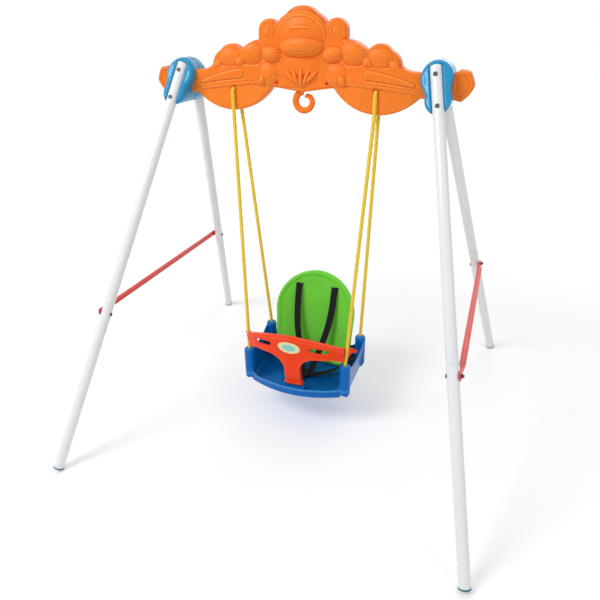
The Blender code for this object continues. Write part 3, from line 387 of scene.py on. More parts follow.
def facing_out(mesh):
    with worked(mesh) as work:
        bmesh.ops.remove_doubles(work, verts=work.verts, dist=1e-6)
        bmesh.ops.recalc_face_normals(work, faces=work.faces)
    return mesh


def moved(mesh, matrix):
    mesh.transform(matrix)
    return mesh


def noted(mesh, name, values):
    """Keeps a number at each point of the mesh for its finish."""
    mesh.attributes.new(name, "FLOAT", "POINT").data.foreach_set("value", np.asarray(values, np.float32))


# A panel's grid points this share of a step from the edge snap to it.
SNAP = 0.52
LEAST_STEEP = 0.2
RIM_ROUNDS = 5
SMOOTH_ROUNDS = 2
SMOOTH_FACTOR = 0.45


def cells(grid):
    """What a grid holds at the four corners of each of its cells."""
    return [grid[:-1, :-1], grid[1:, :-1], grid[1:, 1:], grid[:-1, 1:]]


def moulded(name, half_width, heights, step, edge_of, faces_of, place=None, sides=4, marks=None):
    """A moulded panel over the plane (x, z). edge_of gives how far in a point lies, faces_of its two faces.

    Grid points near the edge snap to it, the edge is smoothed, and a wall of this many sides joins the faces.
    Each mark is a field of x, z and depth that is kept for the finish.
    """
    count = ceil(half_width / step) + 2
    upward = np.arange(heights[0] - 2 * step, heights[1] + 2 * step, step)
    x, z = np.meshgrid(step * np.arange(-count, count + 1), upward, indexing="ij")
    edge = edge_of(x, z)
    slope_x, slope_z = np.gradient(edge, step)
    steep = np.maximum(slope_x**2 + slope_z**2, LEAST_STEEP)
    snapped = np.abs(edge) <= SNAP * step
    x = np.where(snapped, x - edge * slope_x / steep, x)
    z = np.where(snapped, z - edge * slope_z / steep, z)
    edge = np.where(snapped, 0, edge)
    kept, numbers = cells(edge >= 0), cells(np.arange(x.size).reshape(x.shape))
    whole = np.logical_and.reduce(kept) & ~np.logical_and.reduce(cells(snapped))
    sheet = np.stack([n[whole] for n in numbers], -1).tolist()
    for missing in range(4):
        lone = ~kept[missing] & (sum(corner.astype(int) for corner in kept) == 3)
        sheet += np.stack([n[lone] for k, n in enumerate(numbers) if k != missing], -1).tolist()
    front, rear = faces_of(x, z, edge)
    used = sorted({n for face in sheet for n in face})
    order = {n: k for k, n in enumerate(used)}
    total = len(used)
    x, z, front, rear = (field.ravel()[used] for field in (x, z, front, rear))
    faces = [[order[n] for n in face] for face in sheet]
    ahead = {(p, q) for face in faces for p, q in zip(face, face[1:] + face[:1])}
    rim = [(p, q) for p, q in ahead if (q, p) not in ahead]
    faces += [[n + total for n in reversed(face)] for face in faces]
    rim_points = sorted({p for pair in rim for p in pair})
    following, previous = dict(rim), {q: p for p, q in rim}
    after, before = [following[p] for p in rim_points], [previous[p] for p in rim_points]
    for flat in [x, z] * RIM_ROUNDS:
        flat[rim_points] = 0.5 * flat[rim_points] + 0.25 * (flat[after] + flat[before])
    points = [np.stack([x, depth, z], -1) for depth in (front, rear)]
    levels = [{p: p for p in rim_points}]
    for level in range(1, sides):
        share = level / sides
        first = 2 * total + (level - 1) * len(rim_points)
        depth = front[rim_points] * (1 - share) + rear[rim_points] * share
        points.append(np.stack([x[rim_points], depth, z[rim_points]], -1))
        levels.append({p: first + k for k, p in enumerate(rim_points)})
    levels.append({p: p + total for p in rim_points})
    for upper, lower in zip(levels, levels[1:]):
        faces += [[upper[q], upper[p], lower[p], lower[q]] for p, q in rim]
    points = np.concatenate(points)
    mesh = mesh_of(name, (place(points) if place else points).tolist(), faces)
    with worked(mesh) as work:
        for _ in range(SMOOTH_ROUNDS):
            axes = {f"use_axis_{axis}": True for axis in "xyz"}
            bmesh.ops.smooth_vert(work, verts=work.verts, factor=SMOOTH_FACTOR, **axes)
    for mark, field in (marks or {}).items():
        noted(mesh, mark, field(points[:, 0], points[:, 2], points[:, 1]))
    return mesh


def turned(profile, sides, rounding=0.0):
    """A closed profile of (radius, z) turned about Z, its corners rounded if asked."""
    if rounding:
        profile = rounded_profile(profile, rounding)
    points, faces, rings = [], [], []
    for radius, height in profile:
        made = [(0, 0, height)] if radius < ON_AXIS else circle(radius, height, sides)
        rings.append(range(len(points), len(points) + len(made)))
        points += made
    if min(profile[0][0], profile[-1][0]) >= ON_AXIS:
        rings.append(rings[0])
    for upper, lower in zip(rings, rings[1:]):
        for k in range(sides):
            n = (k + 1) % sides
            corners = ((upper, k), (lower, k), (lower, n), (upper, n))
            faces.append(tuple(dict.fromkeys(ring[j % len(ring)] for ring, j in corners)))
    return facing_out(mesh_of("turned", points, faces))


def rounded_profile(profile, radius, steps=3):
    """The profile with each corner off the axis cut by a short arc."""
    axis_ends = min(profile[0][0], profile[-1][0]) < ON_AXIS
    made = []
    for k, here in enumerate(profile):
        if axis_ends and k in (0, len(profile) - 1):
            made.append(here)
            continue
        p, q, r = (Vector(profile[(k + j) % len(profile)]) for j in (-1, 0, 1))
        reach = min(radius, (q - p).length / 2.2, (r - q).length / 2.2)
        first = q + (p - q).normalized() * reach
        last = q + (r - q).normalized() * reach
        for j in range(steps + 1):
            t = j / steps
            made.append(tuple(first * (1 - t) ** 2 + q * 2 * t * (1 - t) + last * t**2))
    return made


def rod(radius, top, bottom, sides):
    return turned([(0, top), (radius, top), (radius, bottom), (0, bottom)], sides)


def loft(rings):
    count = len(rings[0])
    points = [p for ring in rings for p in ring]
    faces = [tuple(reversed(range(count))), tuple(range(len(points) - count, len(points)))]
    for level in range(len(rings) - 1):
        for k in range(count):
            a = level * count + k
            b = level * count + (k + 1) % count
            faces.append((a, b, b + count, a + count))
    return mesh_of("loft", points, faces)


def box(low, high):
    faces = [(0, 1, 3, 2), (4, 6, 7, 5), (0, 4, 5, 1), (2, 3, 7, 6), (0, 2, 6, 4), (1, 5, 7, 3)]
    return facing_out(mesh_of("box", list(product(*zip(low, high))), faces))


def joined(name, meshes):
    """One mesh of several, which keep their own shapes."""
    made = bpy.data.meshes.new(name)
    with worked(made) as work:
        for mesh in meshes:
            work.from_mesh(mesh)
    return made


def linked(name, data):
    """A new object in the scene."""
    made = bpy.data.objects.new(name, data)
    bpy.context.scene.collection.objects.link(made)
    return made


def baked(helper):
    """The mesh that an object's modifiers make. The object and its modifiers are removed."""
    bpy.context.view_layer.update()
    graph = bpy.context.evaluated_depsgraph_get()
    mesh = bpy.data.meshes.new_from_object(helper.evaluated_get(graph))
    helper.modifiers.clear()
    bpy.data.objects.remove(helper, do_unlink=True)
    return mesh


def finished_by(mesh, *steps):
    """The mesh after modifiers: (type, settings), ..."""
    helper = linked("helper", mesh)
    for kind, settings in steps:
        modifier = helper.modifiers.new(kind, kind)
        for key, value in settings.items():
            setattr(modifier, key, value)
    return baked(helper)


def bevelled(mesh, width, segments):
    return finished_by(mesh, ("BEVEL", {"width": width, "segments": segments}))


def cut_by(mesh, tools):
    """The mesh after Booleans: (operation, tool mesh), ..."""
    helpers = [(operation, linked("tool", tool)) for operation, tool in tools]
    steps = [("BOOLEAN", {"operation": o, "object": helper, "solver": "EXACT"}) for o, helper in helpers]
    made = finished_by(mesh, *steps)
    for _, helper in helpers:
        bpy.data.objects.remove(helper, do_unlink=True)
    return made


def piece(name, mesh, body, finish, replaces=(), sharp=40):
    """A finished piece at the origin, which rides on a body and stands for CAD nodes."""
    made = linked(name, mesh)
    mesh.materials.clear()
    mesh.materials.append(finish)
    mesh.shade_smooth()
    mesh.set_sharp_from_angle(angle=radians(sharp))
    if body:
        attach(made, body)
    if replaces:
        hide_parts(*replaces)
    return made


# Nodes


def node(tree, kind, inputs=(), **settings):
    """A node with its settings, and its inputs set or linked by name or place."""
    made = tree.nodes.new(kind)
    for key, value in settings.items():
        setattr(made, key, value)
    for key, value in dict(inputs).items():
        if isinstance(value, bpy.types.NodeSocket):
            tree.links.new(value, made.inputs[key])
        else:
            made.inputs[key].default_value = value
    return made


def maths(tree, operation, *values):
    """What a Math node gives for numbers and sockets."""
    return node(tree, "ShaderNodeMath", enumerate(values), operation=operation).outputs[0]


def new_tree(name, sockets):
    """A geometry tree with named inputs, each of a socket type or with a number's default, and a finish."""
    tree = bpy.data.node_groups.new(name, "GeometryNodeTree")
    for way in ("INPUT", "OUTPUT"):
        tree.interface.new_socket("Geometry", in_out=way, socket_type="NodeSocketGeometry")
    for label, kind in {**sockets, "Finish": "Material"}.items():
        is_number = isinstance(kind, float)
        socket_type = "NodeSocketFloat" if is_number else f"NodeSocket{kind}"
        made = tree.interface.new_socket(label, in_out="INPUT", socket_type=socket_type)
        if is_number:
            made.default_value = kind
    return tree, node(tree, "NodeGroupInput").outputs


def stored(tree, geometry, name, value):
    given = {"Geometry": geometry, "Name": name, "Value": value}
    return node(tree, "GeometryNodeStoreNamedAttribute", given, data_type="FLOAT", domain="POINT").outputs[0]


def recalled(tree, name, kind="FLOAT"):
    return node(tree, "GeometryNodeInputNamedAttribute", {"Name": name}, data_type=kind).outputs["Attribute"]


def set_on(tree, points, instance, rotation, size):
    """An instance on each point, turned and sized."""
    scale = node(tree, "ShaderNodeCombineXYZ", enumerate(size)).outputs[0]
    given = {"Points": points, "Instance": instance, "Rotation": rotation, "Scale": scale}
    return node(tree, "GeometryNodeInstanceOnPoints", given).outputs[0]


def end_tree(tree, geometry, finish):
    """Ends a geometry tree with plain geometry in its finish."""
    real = node(tree, "GeometryNodeRealizeInstances", {"Geometry": geometry}).outputs[0]
    coloured = node(tree, "GeometryNodeSetMaterial", {"Geometry": real, "Material": finish}).outputs[0]
    node(tree, "NodeGroupOutput", {0: coloured})


def grown(name, start, tree, values):
    """The plain mesh that a geometry tree makes from a start mesh or curve, its inputs set by identifier."""
    helper = linked(f"{name}_start", start)
    modifier = helper.modifiers.new("Grow", "NODES")
    modifier.node_group = tree
    known = {item.name: item.identifier for item in tree.interface.items_tree if item.in_out == "INPUT"}
    for label, value in values.items():
        modifier[known[label]] = value
    mesh = baked(helper)
    mesh.name = name
    return mesh


# Materials


class Finish:
    """A material under construction: its shader's sockets and short ways to add nodes."""

    def __init__(self, name, base, roughness, **sockets):
        self.base = tuple(base)
        self.material = bpy.data.materials.get(name) or bpy.data.materials.new(name)
        self.material.use_nodes = True
        self.material.diffuse_color = (*base, 1)
        self.tree = self.material.node_tree
        self.tree.nodes.clear()
        given = {socket.replace("_", " "): value for socket, value in sockets.items()}
        given |= {"Base Color": (*base, 1), "Roughness": roughness}
        self.shader = self.add("ShaderNodeBsdfPrincipled", given)
        self.out = self.add("ShaderNodeOutputMaterial", {"Surface": self.shader.outputs[0]})
        self.place = self.add("ShaderNodeTexCoord").outputs["Object"]

    def add(self, kind, inputs=(), **settings):
        return node(self.tree, kind, inputs, **settings)

    def noise(self, scale, detail=4.0, roughness=0.55, stretch=None):
        source = self.place
        if stretch:
            source = self.add("ShaderNodeMapping", {"Vector": source, "Scale": stretch}).outputs[0]
        given = {"Vector": source, "Scale": scale, "Detail": detail, "Roughness": roughness}
        return self.add("ShaderNodeTexNoise", given).outputs["Fac"]

    def cloud(self, noise, *spread):
        """A noise, given by its scale, detail and roughness, spread over a range."""
        return self.ranged(self.noise(*noise), *spread)

    def mark(self, name):
        return self.add("ShaderNodeAttribute", attribute_name=name).outputs["Fac"]

    def math(self, operation, *values):
        return maths(self.tree, operation, *values)

    def ranged(self, value, low, high, to_low=0.0, to_high=1.0):
        given = {"Value": value, "From Min": low, "From Max": high, "To Min": to_low, "To Max": to_high}
        return self.add("ShaderNodeMapRange", given).outputs[0]

    def mixed(self, share, first, second):
        ends = {"A": first, "B": second}
        given = {key: (*value, 1) if isinstance(value, tuple) else value for key, value in ends.items()}
        return self.add("ShaderNodeMix", {"Factor": share, **given}, data_type="RGBA").outputs["Result"]

    def tones(self, share, dark, light):
        return self.mixed(share, shade(self.base, dark), shade(self.base, light))

    def times(self, a, b):
        return self.math("MULTIPLY", a, b)

    def paint(self, value):
        self.tree.links.new(value, self.shader.inputs["Base Color"])

    def rough(self, value):
        self.tree.links.new(value, self.shader.inputs["Roughness"])

    def bump(self, height, strength, distance):
        made = self.add("ShaderNodeBump", {"Height": height, "Strength": strength, "Distance": distance})
        self.tree.links.new(made.outputs[0], self.shader.inputs["Normal"])


def shade(base, factor):
    return tuple(min(1.0, channel * factor) for channel in base)


def plastic(name, base, roughness=0.26, coat=0.14, grain=1100.0, variation=0.10, painted_highlight=None):
    """Injection-moulded plastic: slight flow marks in its colour, fine grain and a few handling scuffs.

    It may carry a painted highlight, broken up by noise: the mark that says where, the pale colour and its
    share.
    """
    finish = Finish(name, base, roughness, Coat_Weight=coat, Coat_Roughness=0.12, Specular_IOR_Level=0.13)
    body = finish.tones(finish.cloud((9.0, 3.0, 0.6), 0.32, 0.68), 1 - variation, 1 + variation * 0.6)
    if painted_highlight:
        mark, pale, share = painted_highlight
        # The pale colour here is a painted highlight along an edge or bead, broken up by noise.
        highlight_share = finish.times(finish.mark(mark), finish.cloud((90.0, 4.0, 0.7), 0.2, 0.6, 0.55, 1.0))
        body = finish.mixed(finish.times(highlight_share, share), body, pale)
    finish.paint(body)
    finish.rough(finish.cloud((60.0, 6.0, 0.75), 0.35, 0.75, roughness * 0.92, roughness * 1.15))
    finish.bump(finish.noise(grain, 2.0), 0.05, 0.0004)
    return finish.material


def beam_finish():
    """Blow-moulded plastic: painted shade darkens the creases, painted highlight lightens the crests, and the
    lobes are stippled.
    """
    red, green, blue = colours().beam
    # pale is the painted highlight colour on the crests, and also a random mottle on the lobes
    pale = (min(1.0, red * 1.04), green * 1.80, blue * 4.5)
    coat = {"Coat_Weight": 0.06, "Coat_Roughness": 0.3}
    finish = Finish("beam_plastic", (red, green, blue), 0.42, Specular_IOR_Level=0.22, **coat)
    hollow, lobe = finish.mark("painted_crease_shading"), finish.mark("lobe")
    body = finish.tones(finish.cloud((11.0, 4.0, 0.65), 0.3, 0.7), 0.94, 1.05)
    # Painted shade darkens the creases, then painted highlight lightens the crests.
    body = finish.mixed(finish.ranged(hollow, 0.03, 0.90, 0.0, 0.85), body, tuple(colours().painted_crease_shading))
    body = finish.mixed(finish.ranged(hollow, -0.06, -0.8, 0.0, 0.50), body, pale)
    mottle = finish.times(finish.cloud((150.0, 4.0, 0.7), 0.45, 0.70), lobe)
    finish.paint(finish.mixed(finish.times(mottle, 0.45), body, pale))
    finish.rough(finish.cloud((45.0, 5.0), 0.3, 0.7, 0.36, 0.52))
    stipple = finish.times(finish.noise(260.0, 3.0, 0.6), finish.math("MULTIPLY_ADD", lobe, 0.85, 0.15))
    finish.bump(stipple, 0.55, 0.0012)
    return finish.material


def painted(name, base, roughness, drag):
    """Powder coat on a drawn tube: fine orange peel and faint streaks along the tube."""
    finish = Finish(name, base, roughness, Coat_Weight=0.25, Coat_Roughness=0.2, Specular_IOR_Level=0.5)
    finish.paint(finish.tones(finish.cloud((1.0, 4.0, 0.6, drag), 0.3, 0.7), 0.985, 1.01))
    finish.rough(finish.cloud((25.0, 5.0), 0.3, 0.7, roughness * 0.8, roughness * 1.25))
    finish.bump(finish.noise(420.0, 2.0), 0.10, 0.0005)
    return finish.material


def metal(name, base):
    """Dull steel, brighter in random patches of wear."""
    finish = Finish(name, base, 0.42, Metallic=0.75)
    finish.paint(finish.tones(finish.cloud((300.0, 5.0, 0.7), 0.5, 0.75), 1, 3.0))
    finish.rough(finish.cloud((150.0, 4.0), 0.3, 0.7, 0.32, 0.55))
    return finish.material


def rope_finish():
    """Braided cord: its plaits come from the mesh, painted darker in their grooves and lighter on their crowns
    as painted shade and highlight, with spots and a fine yarn grain on them.
    """
    finish = Finish("rope_cord", colours().rope, 0.72, Sheen_Weight=0.25, Sheen_Roughness=0.5)
    painted_relief_shading = finish.tones(finish.ranged(finish.mark("plait"), 0.0, 0.8), 0.76, 1.10)
    spots = finish.times(finish.cloud((420.0, 4.0, 0.7), 0.35, 0.65), 0.35)
    finish.paint(finish.mixed(spots, painted_relief_shading, shade(finish.base, 0.80)))
    finish.bump(finish.noise(1500.0, 3.0, 0.6), 0.45, 0.0005)
    return finish.material


def webbing_finish():
    """Woven tape: ribs across it from its own run, painted darker in the weave's valleys and lighter on its
    ribs as painted shade and highlight, yarn flecks and a slight sheen.
    """
    sheen = {"Sheen_Weight": 0.04, "Sheen_Roughness": 0.45}
    finish = Finish("webbing_tape", colours().webbing, 0.72, Specular_IOR_Level=0.22, **sheen)
    ribs, yarns = (
        finish.math("SINE", finish.times(finish.mark(mark), 2 * pi / pitch))
        for mark, pitch in (("run", 0.0021), ("over", 0.0016))
    )
    weave = finish.math("MULTIPLY_ADD", finish.times(ribs, yarns), 0.5, 0.5)
    # Painted shade in the weave's valleys and painted highlight on its ribs.
    painted_relief_shading = finish.tones(finish.ranged(weave, 0.1, 0.9), 0.55, 1.9)
    flecks = finish.cloud((900.0, 3.0, 0.6), 0.45, 0.75, 0.0, 0.5)
    finish.paint(finish.mixed(flecks, painted_relief_shading, shade(finish.base, 2.4)))
    finish.bump(weave, 0.5, 0.0006)
    return finish.material


def label_finish():
    """A plain film label: a soft green field in a pale rim with a fine darker line near its edge."""
    finish = Finish("label_film", colours().label_rim, 0.3, Coat_Weight=0.5, Coat_Roughness=0.08)
    red, green, blue = field = tuple(colours().label_field)
    wash = finish.cloud((38.0, 2.0, 0.5), 0.35, 0.65)
    middle = finish.mixed(wash, field, (red * 0.62, green * 0.98, min(1.0, blue * 1.35)))
    share = finish.mark("share")
    inner = finish.mixed(finish.ranged(share, 0.50, 0.74), middle, shade(finish.base, 1.05))
    line = finish.times(finish.math("COMPARE", share, 0.86, 0.020), 0.7)
    finish.paint(finish.mixed(line, inner, (0.24, 0.42, 0.12)))
    finish.rough(finish.cloud((200.0, 3.0), 0.3, 0.7, 0.26, 0.38))
    return finish.material


# Places


def side_matrix(side):
    right = Matrix.Translation((BOLT_HALF_SPAN, 0, BOLT_HEIGHT)) @ Matrix.Rotation(-SIDE_TILT, 4, "Y")
    return right if side > 0 else Matrix.Rotation(pi, 4, "Z") @ right


def leg_matrix(side, end):
    """A leg's own frame: Z along its axis, the upper bolt at its origin and Y to the A-frame's outside."""
    way = side * end
    return (
        side_matrix(side)
        @ Matrix.Translation((0, way * LEG_TOP_OFFSET, 0))
        @ Matrix.Rotation(way * LEG_LEAN, 4, "X")
        @ Matrix.Rotation(0 if way > 0 else pi, 4, "Z")
    )


def brace_point(side, end):
    out = side * end * (LEG_TOP_OFFSET + BRACE_BOLT_DISTANCE * sin(LEG_LEAN))
    return Vector((0, out, -BRACE_BOLT_DISTANCE * cos(LEG_LEAN)))


def brace_bolt_matrix(side, end):
    return side_matrix(side) @ Matrix.Translation(brace_point(side, end)) @ Matrix.Rotation(pi / 2, 4, "Y")


def strand(side, end):
    """Where a rope strand leaves its post and meets its lobe, and the direction between them."""
    lower = Vector((side * POST_X, POST_Y[end], POST_TOP))
    upper = Vector((side * LOBE_X, end * ROPE_FACE, LOBE_BOTTOM))
    return lower, upper, (upper - lower).normalized()


def knot_place(side, end):
    lower, _, along = strand(side, end)
    return lower - along * (POST_BOSS / along.z)


def placed(matrix):
    """Moves an array of points by a matrix."""
    turn = np.array(matrix)
    return lambda points: points @ turn[:3, :3].T + turn[:3, 3]


def cad(*patterns):
    """The names of the CAD nodes that start with these words."""
    return [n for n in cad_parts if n.startswith(patterns)]


# Crossbeam

BEAM_OUTLINE = mirrored(arc_outline([
    (0, 1.330, 0.0055), (0.046, 1.309, 0.004), (0.072, 1.285, -0.003), (0.080, 1.293, 0.020),
    (0.129, 1.262, 0.006), (0.120, 1.247, -0.001), (0.132, 1.247, 0.005), (0.186, 1.220, -0.001),
    (0.194, 1.224, 0.014), (0.252, 1.220, 0.007), (0.282, 1.180, -0.004), (0.326, NECK_TOP, 0),
    (0.428, NECK_TOP, 0), (0.434, 1.174, 0.001), (0.461, 1.171, 0.002), (0.477, 1.134, 0.004),
    (0.446, 1.094, 0.001), (0.428, NECK_BOTTOM, 0), (0.338, NECK_BOTTOM, 0), (0.326, 1.089, 0.052),
    (0.0945, 1.121, 0), (0, 1.108, 0),
], closed=False))
LEDGE = [(0.100, 1.131), (0.160, 1.1275), (0.2175, 1.1222), (0.338, 1.108)]
ARM_BAND = arc_outline(
    [(0.322, 1.127, -0.002), (0.190, 1.144, 0.010), (0.190, 1.171, 0.004), (0.322, 1.137, 0.003)]
)
ARM_TOP = [(0.130, 1.180), (0.190, 1.181), (0.255, 1.176), (0.330, 1.172)]

# The figure's rounded masses, all mirrored: centre, half sizes, height from the middle plane and tilt.
BODY_DOMES = [
    ((0, 1.178), (0.088, 0.050), 0.0300, 0),
    ((0.224, 1.200), (0.050, 0.036), 0.0315, 0),
    ((0.190, 1.190), (0.026, 0.018), 0.0325, 25),
    ((0.264, 1.182), (0.028, 0.018), 0.0290, 35),
    ((0.151, 1.212), (0.048, 0.040), 0.0355, 12),
    ((0.103, 1.156), (0.043, 0.041), 0.0335, 0),
    ((0.120, 1.142), (0.015, 0.023), 0.0370, -12),
    ((0.091, 1.209), (0.037, 0.026), 0.0400, -8),
    ((0, 1.150), (0.0095, 0.040), 0.0385, 0),
    ((0.016, 1.149), (0.0085, 0.036), 0.0375, 22),
    ((0.031, 1.150), (0.0080, 0.034), 0.0360, 46),
]
EAR_DOMES = [((0.101, 1.266), (0.030, 0.030), 0.0310, 0)]
EAR_HOLLOW = ((0.103, 1.266), (0.019, 0.020))
SKULL_DOMES = [((0, 1.262), (0.086, 0.068), 0.0440, 0)]
FACE_PLATE = ((0, 1.250), (0.067, 0.055))
FACE_DOMES = [
    ((0, 1.2770), (0.064, 0.0110), 0.0428, 0),
    ((0, 1.231), (0.075, 0.036), 0.0505, 0),
    ((0.022, 1.2680), (0.0075, 0.0052), 0.0425, 0),
]
NOSTRIL = (0.0070, 1.2420)
# How far the relief's other parts stand above the beam's plain face or are sunk in it.
PLAIN_FACE = 0.0008
LOBE_SUNK = 0.0012
LOBE_RIM = 0.0008
ARM_RAISED = 0.0026
BAND_RAISED = 0.0030
TAB_SUNK = 0.0022
EAR_SUNK = 0.0050
FACE_SUNK = 0.0030
BEAM_ROUND = 0.0065
# Creases pressed into it: the points of a line, width and depth.
CREASES = [
    ([(0.186, 1.222), (0.180, 1.208), (0.184, 1.195), (0.176, 1.186)], 0.0014, 0.0030),
    ([(0.170, 1.226), (0.166, 1.212), (0.170, 1.200)], 0.0012, 0.0018),
    ([(0.124, 1.238), (0.121, 1.222), (0.124, 1.200), (0.118, 1.190)], 0.0016, 0.0032),
    ([(0.206, 1.200), (0.216, 1.186), (0.226, 1.194), (0.240, 1.186)], 0.0013, 0.0022),
    ([(0.222, 1.216), (0.230, 1.200)], 0.0013, 0.0016),
    ([(0.246, 1.206), (0.250, 1.190)], 0.0013, 0.0016),
    ([(0.061, 1.214), (0.074, 1.212)], 0.0012, 0.0020),
    ([(0.061, 1.207), (0.075, 1.204)], 0.0012, 0.0020),
    ([(0.066, 1.200), (0.078, 1.197)], 0.0012, 0.0018),
    ([(0.059, 1.134), (0.061, 1.145), (0.068, 1.152), (0.077, 1.154), (0.087, 1.152), (0.094, 1.145),
      (0.096, 1.134)], 0.0014, 0.0024),
    ([(0.108, 1.122), (0.109, 1.133)], 0.0011, 0.0022),
    ([(0.115, 1.121), (0.116, 1.132)], 0.0011, 0.0022),
    ([(0.122, 1.122), (0.122, 1.132)], 0.0011, 0.0022),
    ([(0.052, 1.192), (0.062, 1.181), (0.078, 1.176)], 0.0014, 0.0018),
    ([(0, 1.2165), (0.016, 1.2172), (0.030, 1.2210), (0.041, 1.2290)], 0.0013, 0.0022),
    ([(0, 1.1205), (0.050, 1.1215), (0.096, 1.1250)], 0.0014, 0.0016),
]


def beam_edge(x, z):
    holes = np.hypot(np.abs(x) - LOBE_X, z - ROPE_HOLE_Z) - ROPE_HOLE_RADIUS
    return np.minimum(inside(BEAM_OUTLINE, x, z), holes)


def lobe_share(x, z, depth=0):
    """1 on the stippled lobes below the ledge, 0 on the arms and the figure."""
    a = np.abs(x)
    line = np.interp(a, *zip(*LEDGE))
    return step_up(line - z, 0.0, 0.003) * step_up(a, 0.092, 0.006) * step_up(0.340 - a, 0.0, 0.006)


def beam_relief(x, z):
    """Half the beam's thickness before its edge is rounded: lobes, arms, end tabs and a plain monkey."""
    a = np.abs(x)
    edge = inside(BEAM_OUTLINE, x, z)
    lobe = lobe_share(x, z)
    top = np.interp(a, *zip(*ARM_TOP))
    arm = (1 - lobe) * step_up(a, 0.128, 0.010) * step_up(top - z, 0, 0.003)
    height = BEAM_HALF + PLAIN_FACE - LOBE_SUNK * lobe + ARM_RAISED * arm
    height = height + LOBE_RIM * lobe * (1 - step_up(edge, 0.0070, 0.0025))
    height = height - bell(from_line(LEDGE, a, z - 0.0105), 0.0014, 0.0016) * arm
    height = height - bell(from_line(LEDGE, a, z), 0.0016, 0.0016)
    band = inside(ARM_BAND, a, z)
    height = height + BAND_RAISED * step_up(band, 0.0015, 0.005) - bell(band + 0.0008, 0.0018, 0.0026)
    height = height - TAB_SUNK * step_up(a, 0.430, 0.003) * step_up(edge, 0.010, 0.003)
    height = with_domes(height, BODY_DOMES, a, z)
    head = with_domes(0 * a, EAR_DOMES, a, z)
    head = head - EAR_SUNK * step_up(1 - oval_share(a, z, *EAR_HOLLOW), 0.12, 0.3)
    head = with_domes(head, SKULL_DOMES, a, z)
    face = oval_share(a, z, *FACE_PLATE)
    head = head - FACE_SUNK * step_up(1 - face, 0, 0.035) * step_up(z, 1.240, 0.010)
    head = head - bell((face - 1.11) * 0.060, 0.0014, 0.0016) * step_up(z, 1.246, 0.010)
    head = with_domes(head, FACE_DOMES, a, z)
    head = head - bell(np.hypot(a - NOSTRIL[0], z - NOSTRIL[1]), 0.0024, 0.0022)
    height = soft_max(height, head)
    for line, width, depth in CREASES:
        height = height - bell(from_line(line, a, z), width, depth)
    return height


def beam_faces(x, z, edge):
    height = rounded(edge, beam_relief(x, z), BEAM_ROUND)
    return -height, height


def beam_crease_shading(x, z, depth):
    """Positive in creases and negative on crests, from how the relief bends; it places the beam's painted
    shade and painted highlight.
    """
    reach, full_bend = 0.0022, 330.0
    around = sum(beam_relief(x + dx, z + dz) for dx, dz in ((reach, 0), (-reach, 0), (0, reach), (0, -reach)))
    return np.clip((around - 4 * beam_relief(x, z)) / reach**2 / full_bend, -1, 1)


def tail_mesh():
    """The curled tail, a ring that is open at its top right and tapers to its tip."""
    start, end, steps = radians(98), radians(98 + 342), 64
    tip, hook_from = 0.94, 0.70
    rings = []
    for t in (k / steps for k in range(steps + 1)):
        turn = start + (end - start) * t
        radius = TAIL_RADIUS * (1 - 0.34 * t**3)
        if t > tip:
            radius *= max(0.05, (1 - ((t - tip) / 0.06) ** 2)) ** 0.5
        hook = max(0.0, (t - hook_from) / 0.30)
        bend = RING_RADIUS * (1 - 0.50 * hook * hook)
        centre = Vector((bend * cos(turn), 0, RING_Z + bend * sin(turn)))
        outward = Vector((cos(turn), 0, sin(turn)))
        rings.append([
            centre + outward * radius * cos(angle) + Vector((0, 1.05 * radius * sin(angle), 0))
            for angle in full_turn(20)
        ])
    return facing_out(loft(rings))


def make_beam():
    marks = {"lobe": lobe_share, "painted_crease_shading": beam_crease_shading}
    step = sizes().beam_step
    mesh = moulded("beam_moulding", 0.480, (1.045, 1.330), step, beam_edge, beam_faces, marks=marks)
    finish = beam_finish()
    piece("beam_moulding", mesh, "frame", finish, ["beam"], 60)
    piece("beam_tail", tail_mesh(), "frame", finish)


def make_plugs():
    finish = plastic("plug_plastic", colours().plug, 0.32)
    dish = [(0, 0.0015), (PLUG_RADIUS * 0.45, 0.0012), (PLUG_RADIUS * 0.62, -0.0006)]
    skirt = [(PLUG_RADIUS, -0.0006), (PLUG_RADIUS, -0.0060), (0, -0.0060)]
    cap = turned(dish + skirt, 40, 0.0006)
    for side, name in SIDES:
        surface = float(beam_relief(np.array([side * PLUG_X]), np.array([PLUG_Z]))[0])
        place = Matrix.Translation((side * PLUG_X, -surface, PLUG_Z)) @ Matrix.Rotation(pi / 2, 4, "X")
        mesh = moved(cap.copy(), place)
        piece(f"beam_plug_cap_{name}", mesh, "frame", finish, [f"beam_plug_{name}"])


# Brackets

BRACKET_OUTLINE = arc_outline(
    [(-0.039, -0.022, 0.061), (0.039, -0.022, -0.00167), (0.034, -0.045, 0.047), (-0.034, -0.045, -0.00167)]
)
BRACKET_PARTING = 0.00015
CHANNEL_HALF = TUBE_RADIUS + 0.0010


def bracket_edge(x, z):
    return inside(BRACKET_OUTLINE, x, z)


def bracket_half(x, z, edge):
    """A half's inner and outer face: rounded, with a sunk channel for its leg between two lips."""
    a = np.abs(x)
    axis = LEG_TOP_OFFSET - z * tan(LEG_LEAN)
    outer = rounded(edge, axis + BRACKET_RIM / cos(LEG_LEAN), sizes().bracket_round)
    lip = bell(a - CHANNEL_HALF - 0.0035, 0.0030, 0.0016) * step_up(0.034 - z, 0, 0.006)
    outer = outer + lip * step_up(edge, 0.004, 0.004)
    sunk = step_up(CHANNEL_HALF - a, 0, 0.0016) * step_up(TUBE_ABOVE_BOLT + 0.0012 - z, 0, 0.0016)
    outer = outer * (1 - sunk) + np.minimum(outer, axis - 0.0005) * sunk
    return np.full(x.shape, BRACKET_PARTING), outer


def turned_half(x, z, edge):
    inner, outer = bracket_half(x, z, edge)
    return -outer, -inner


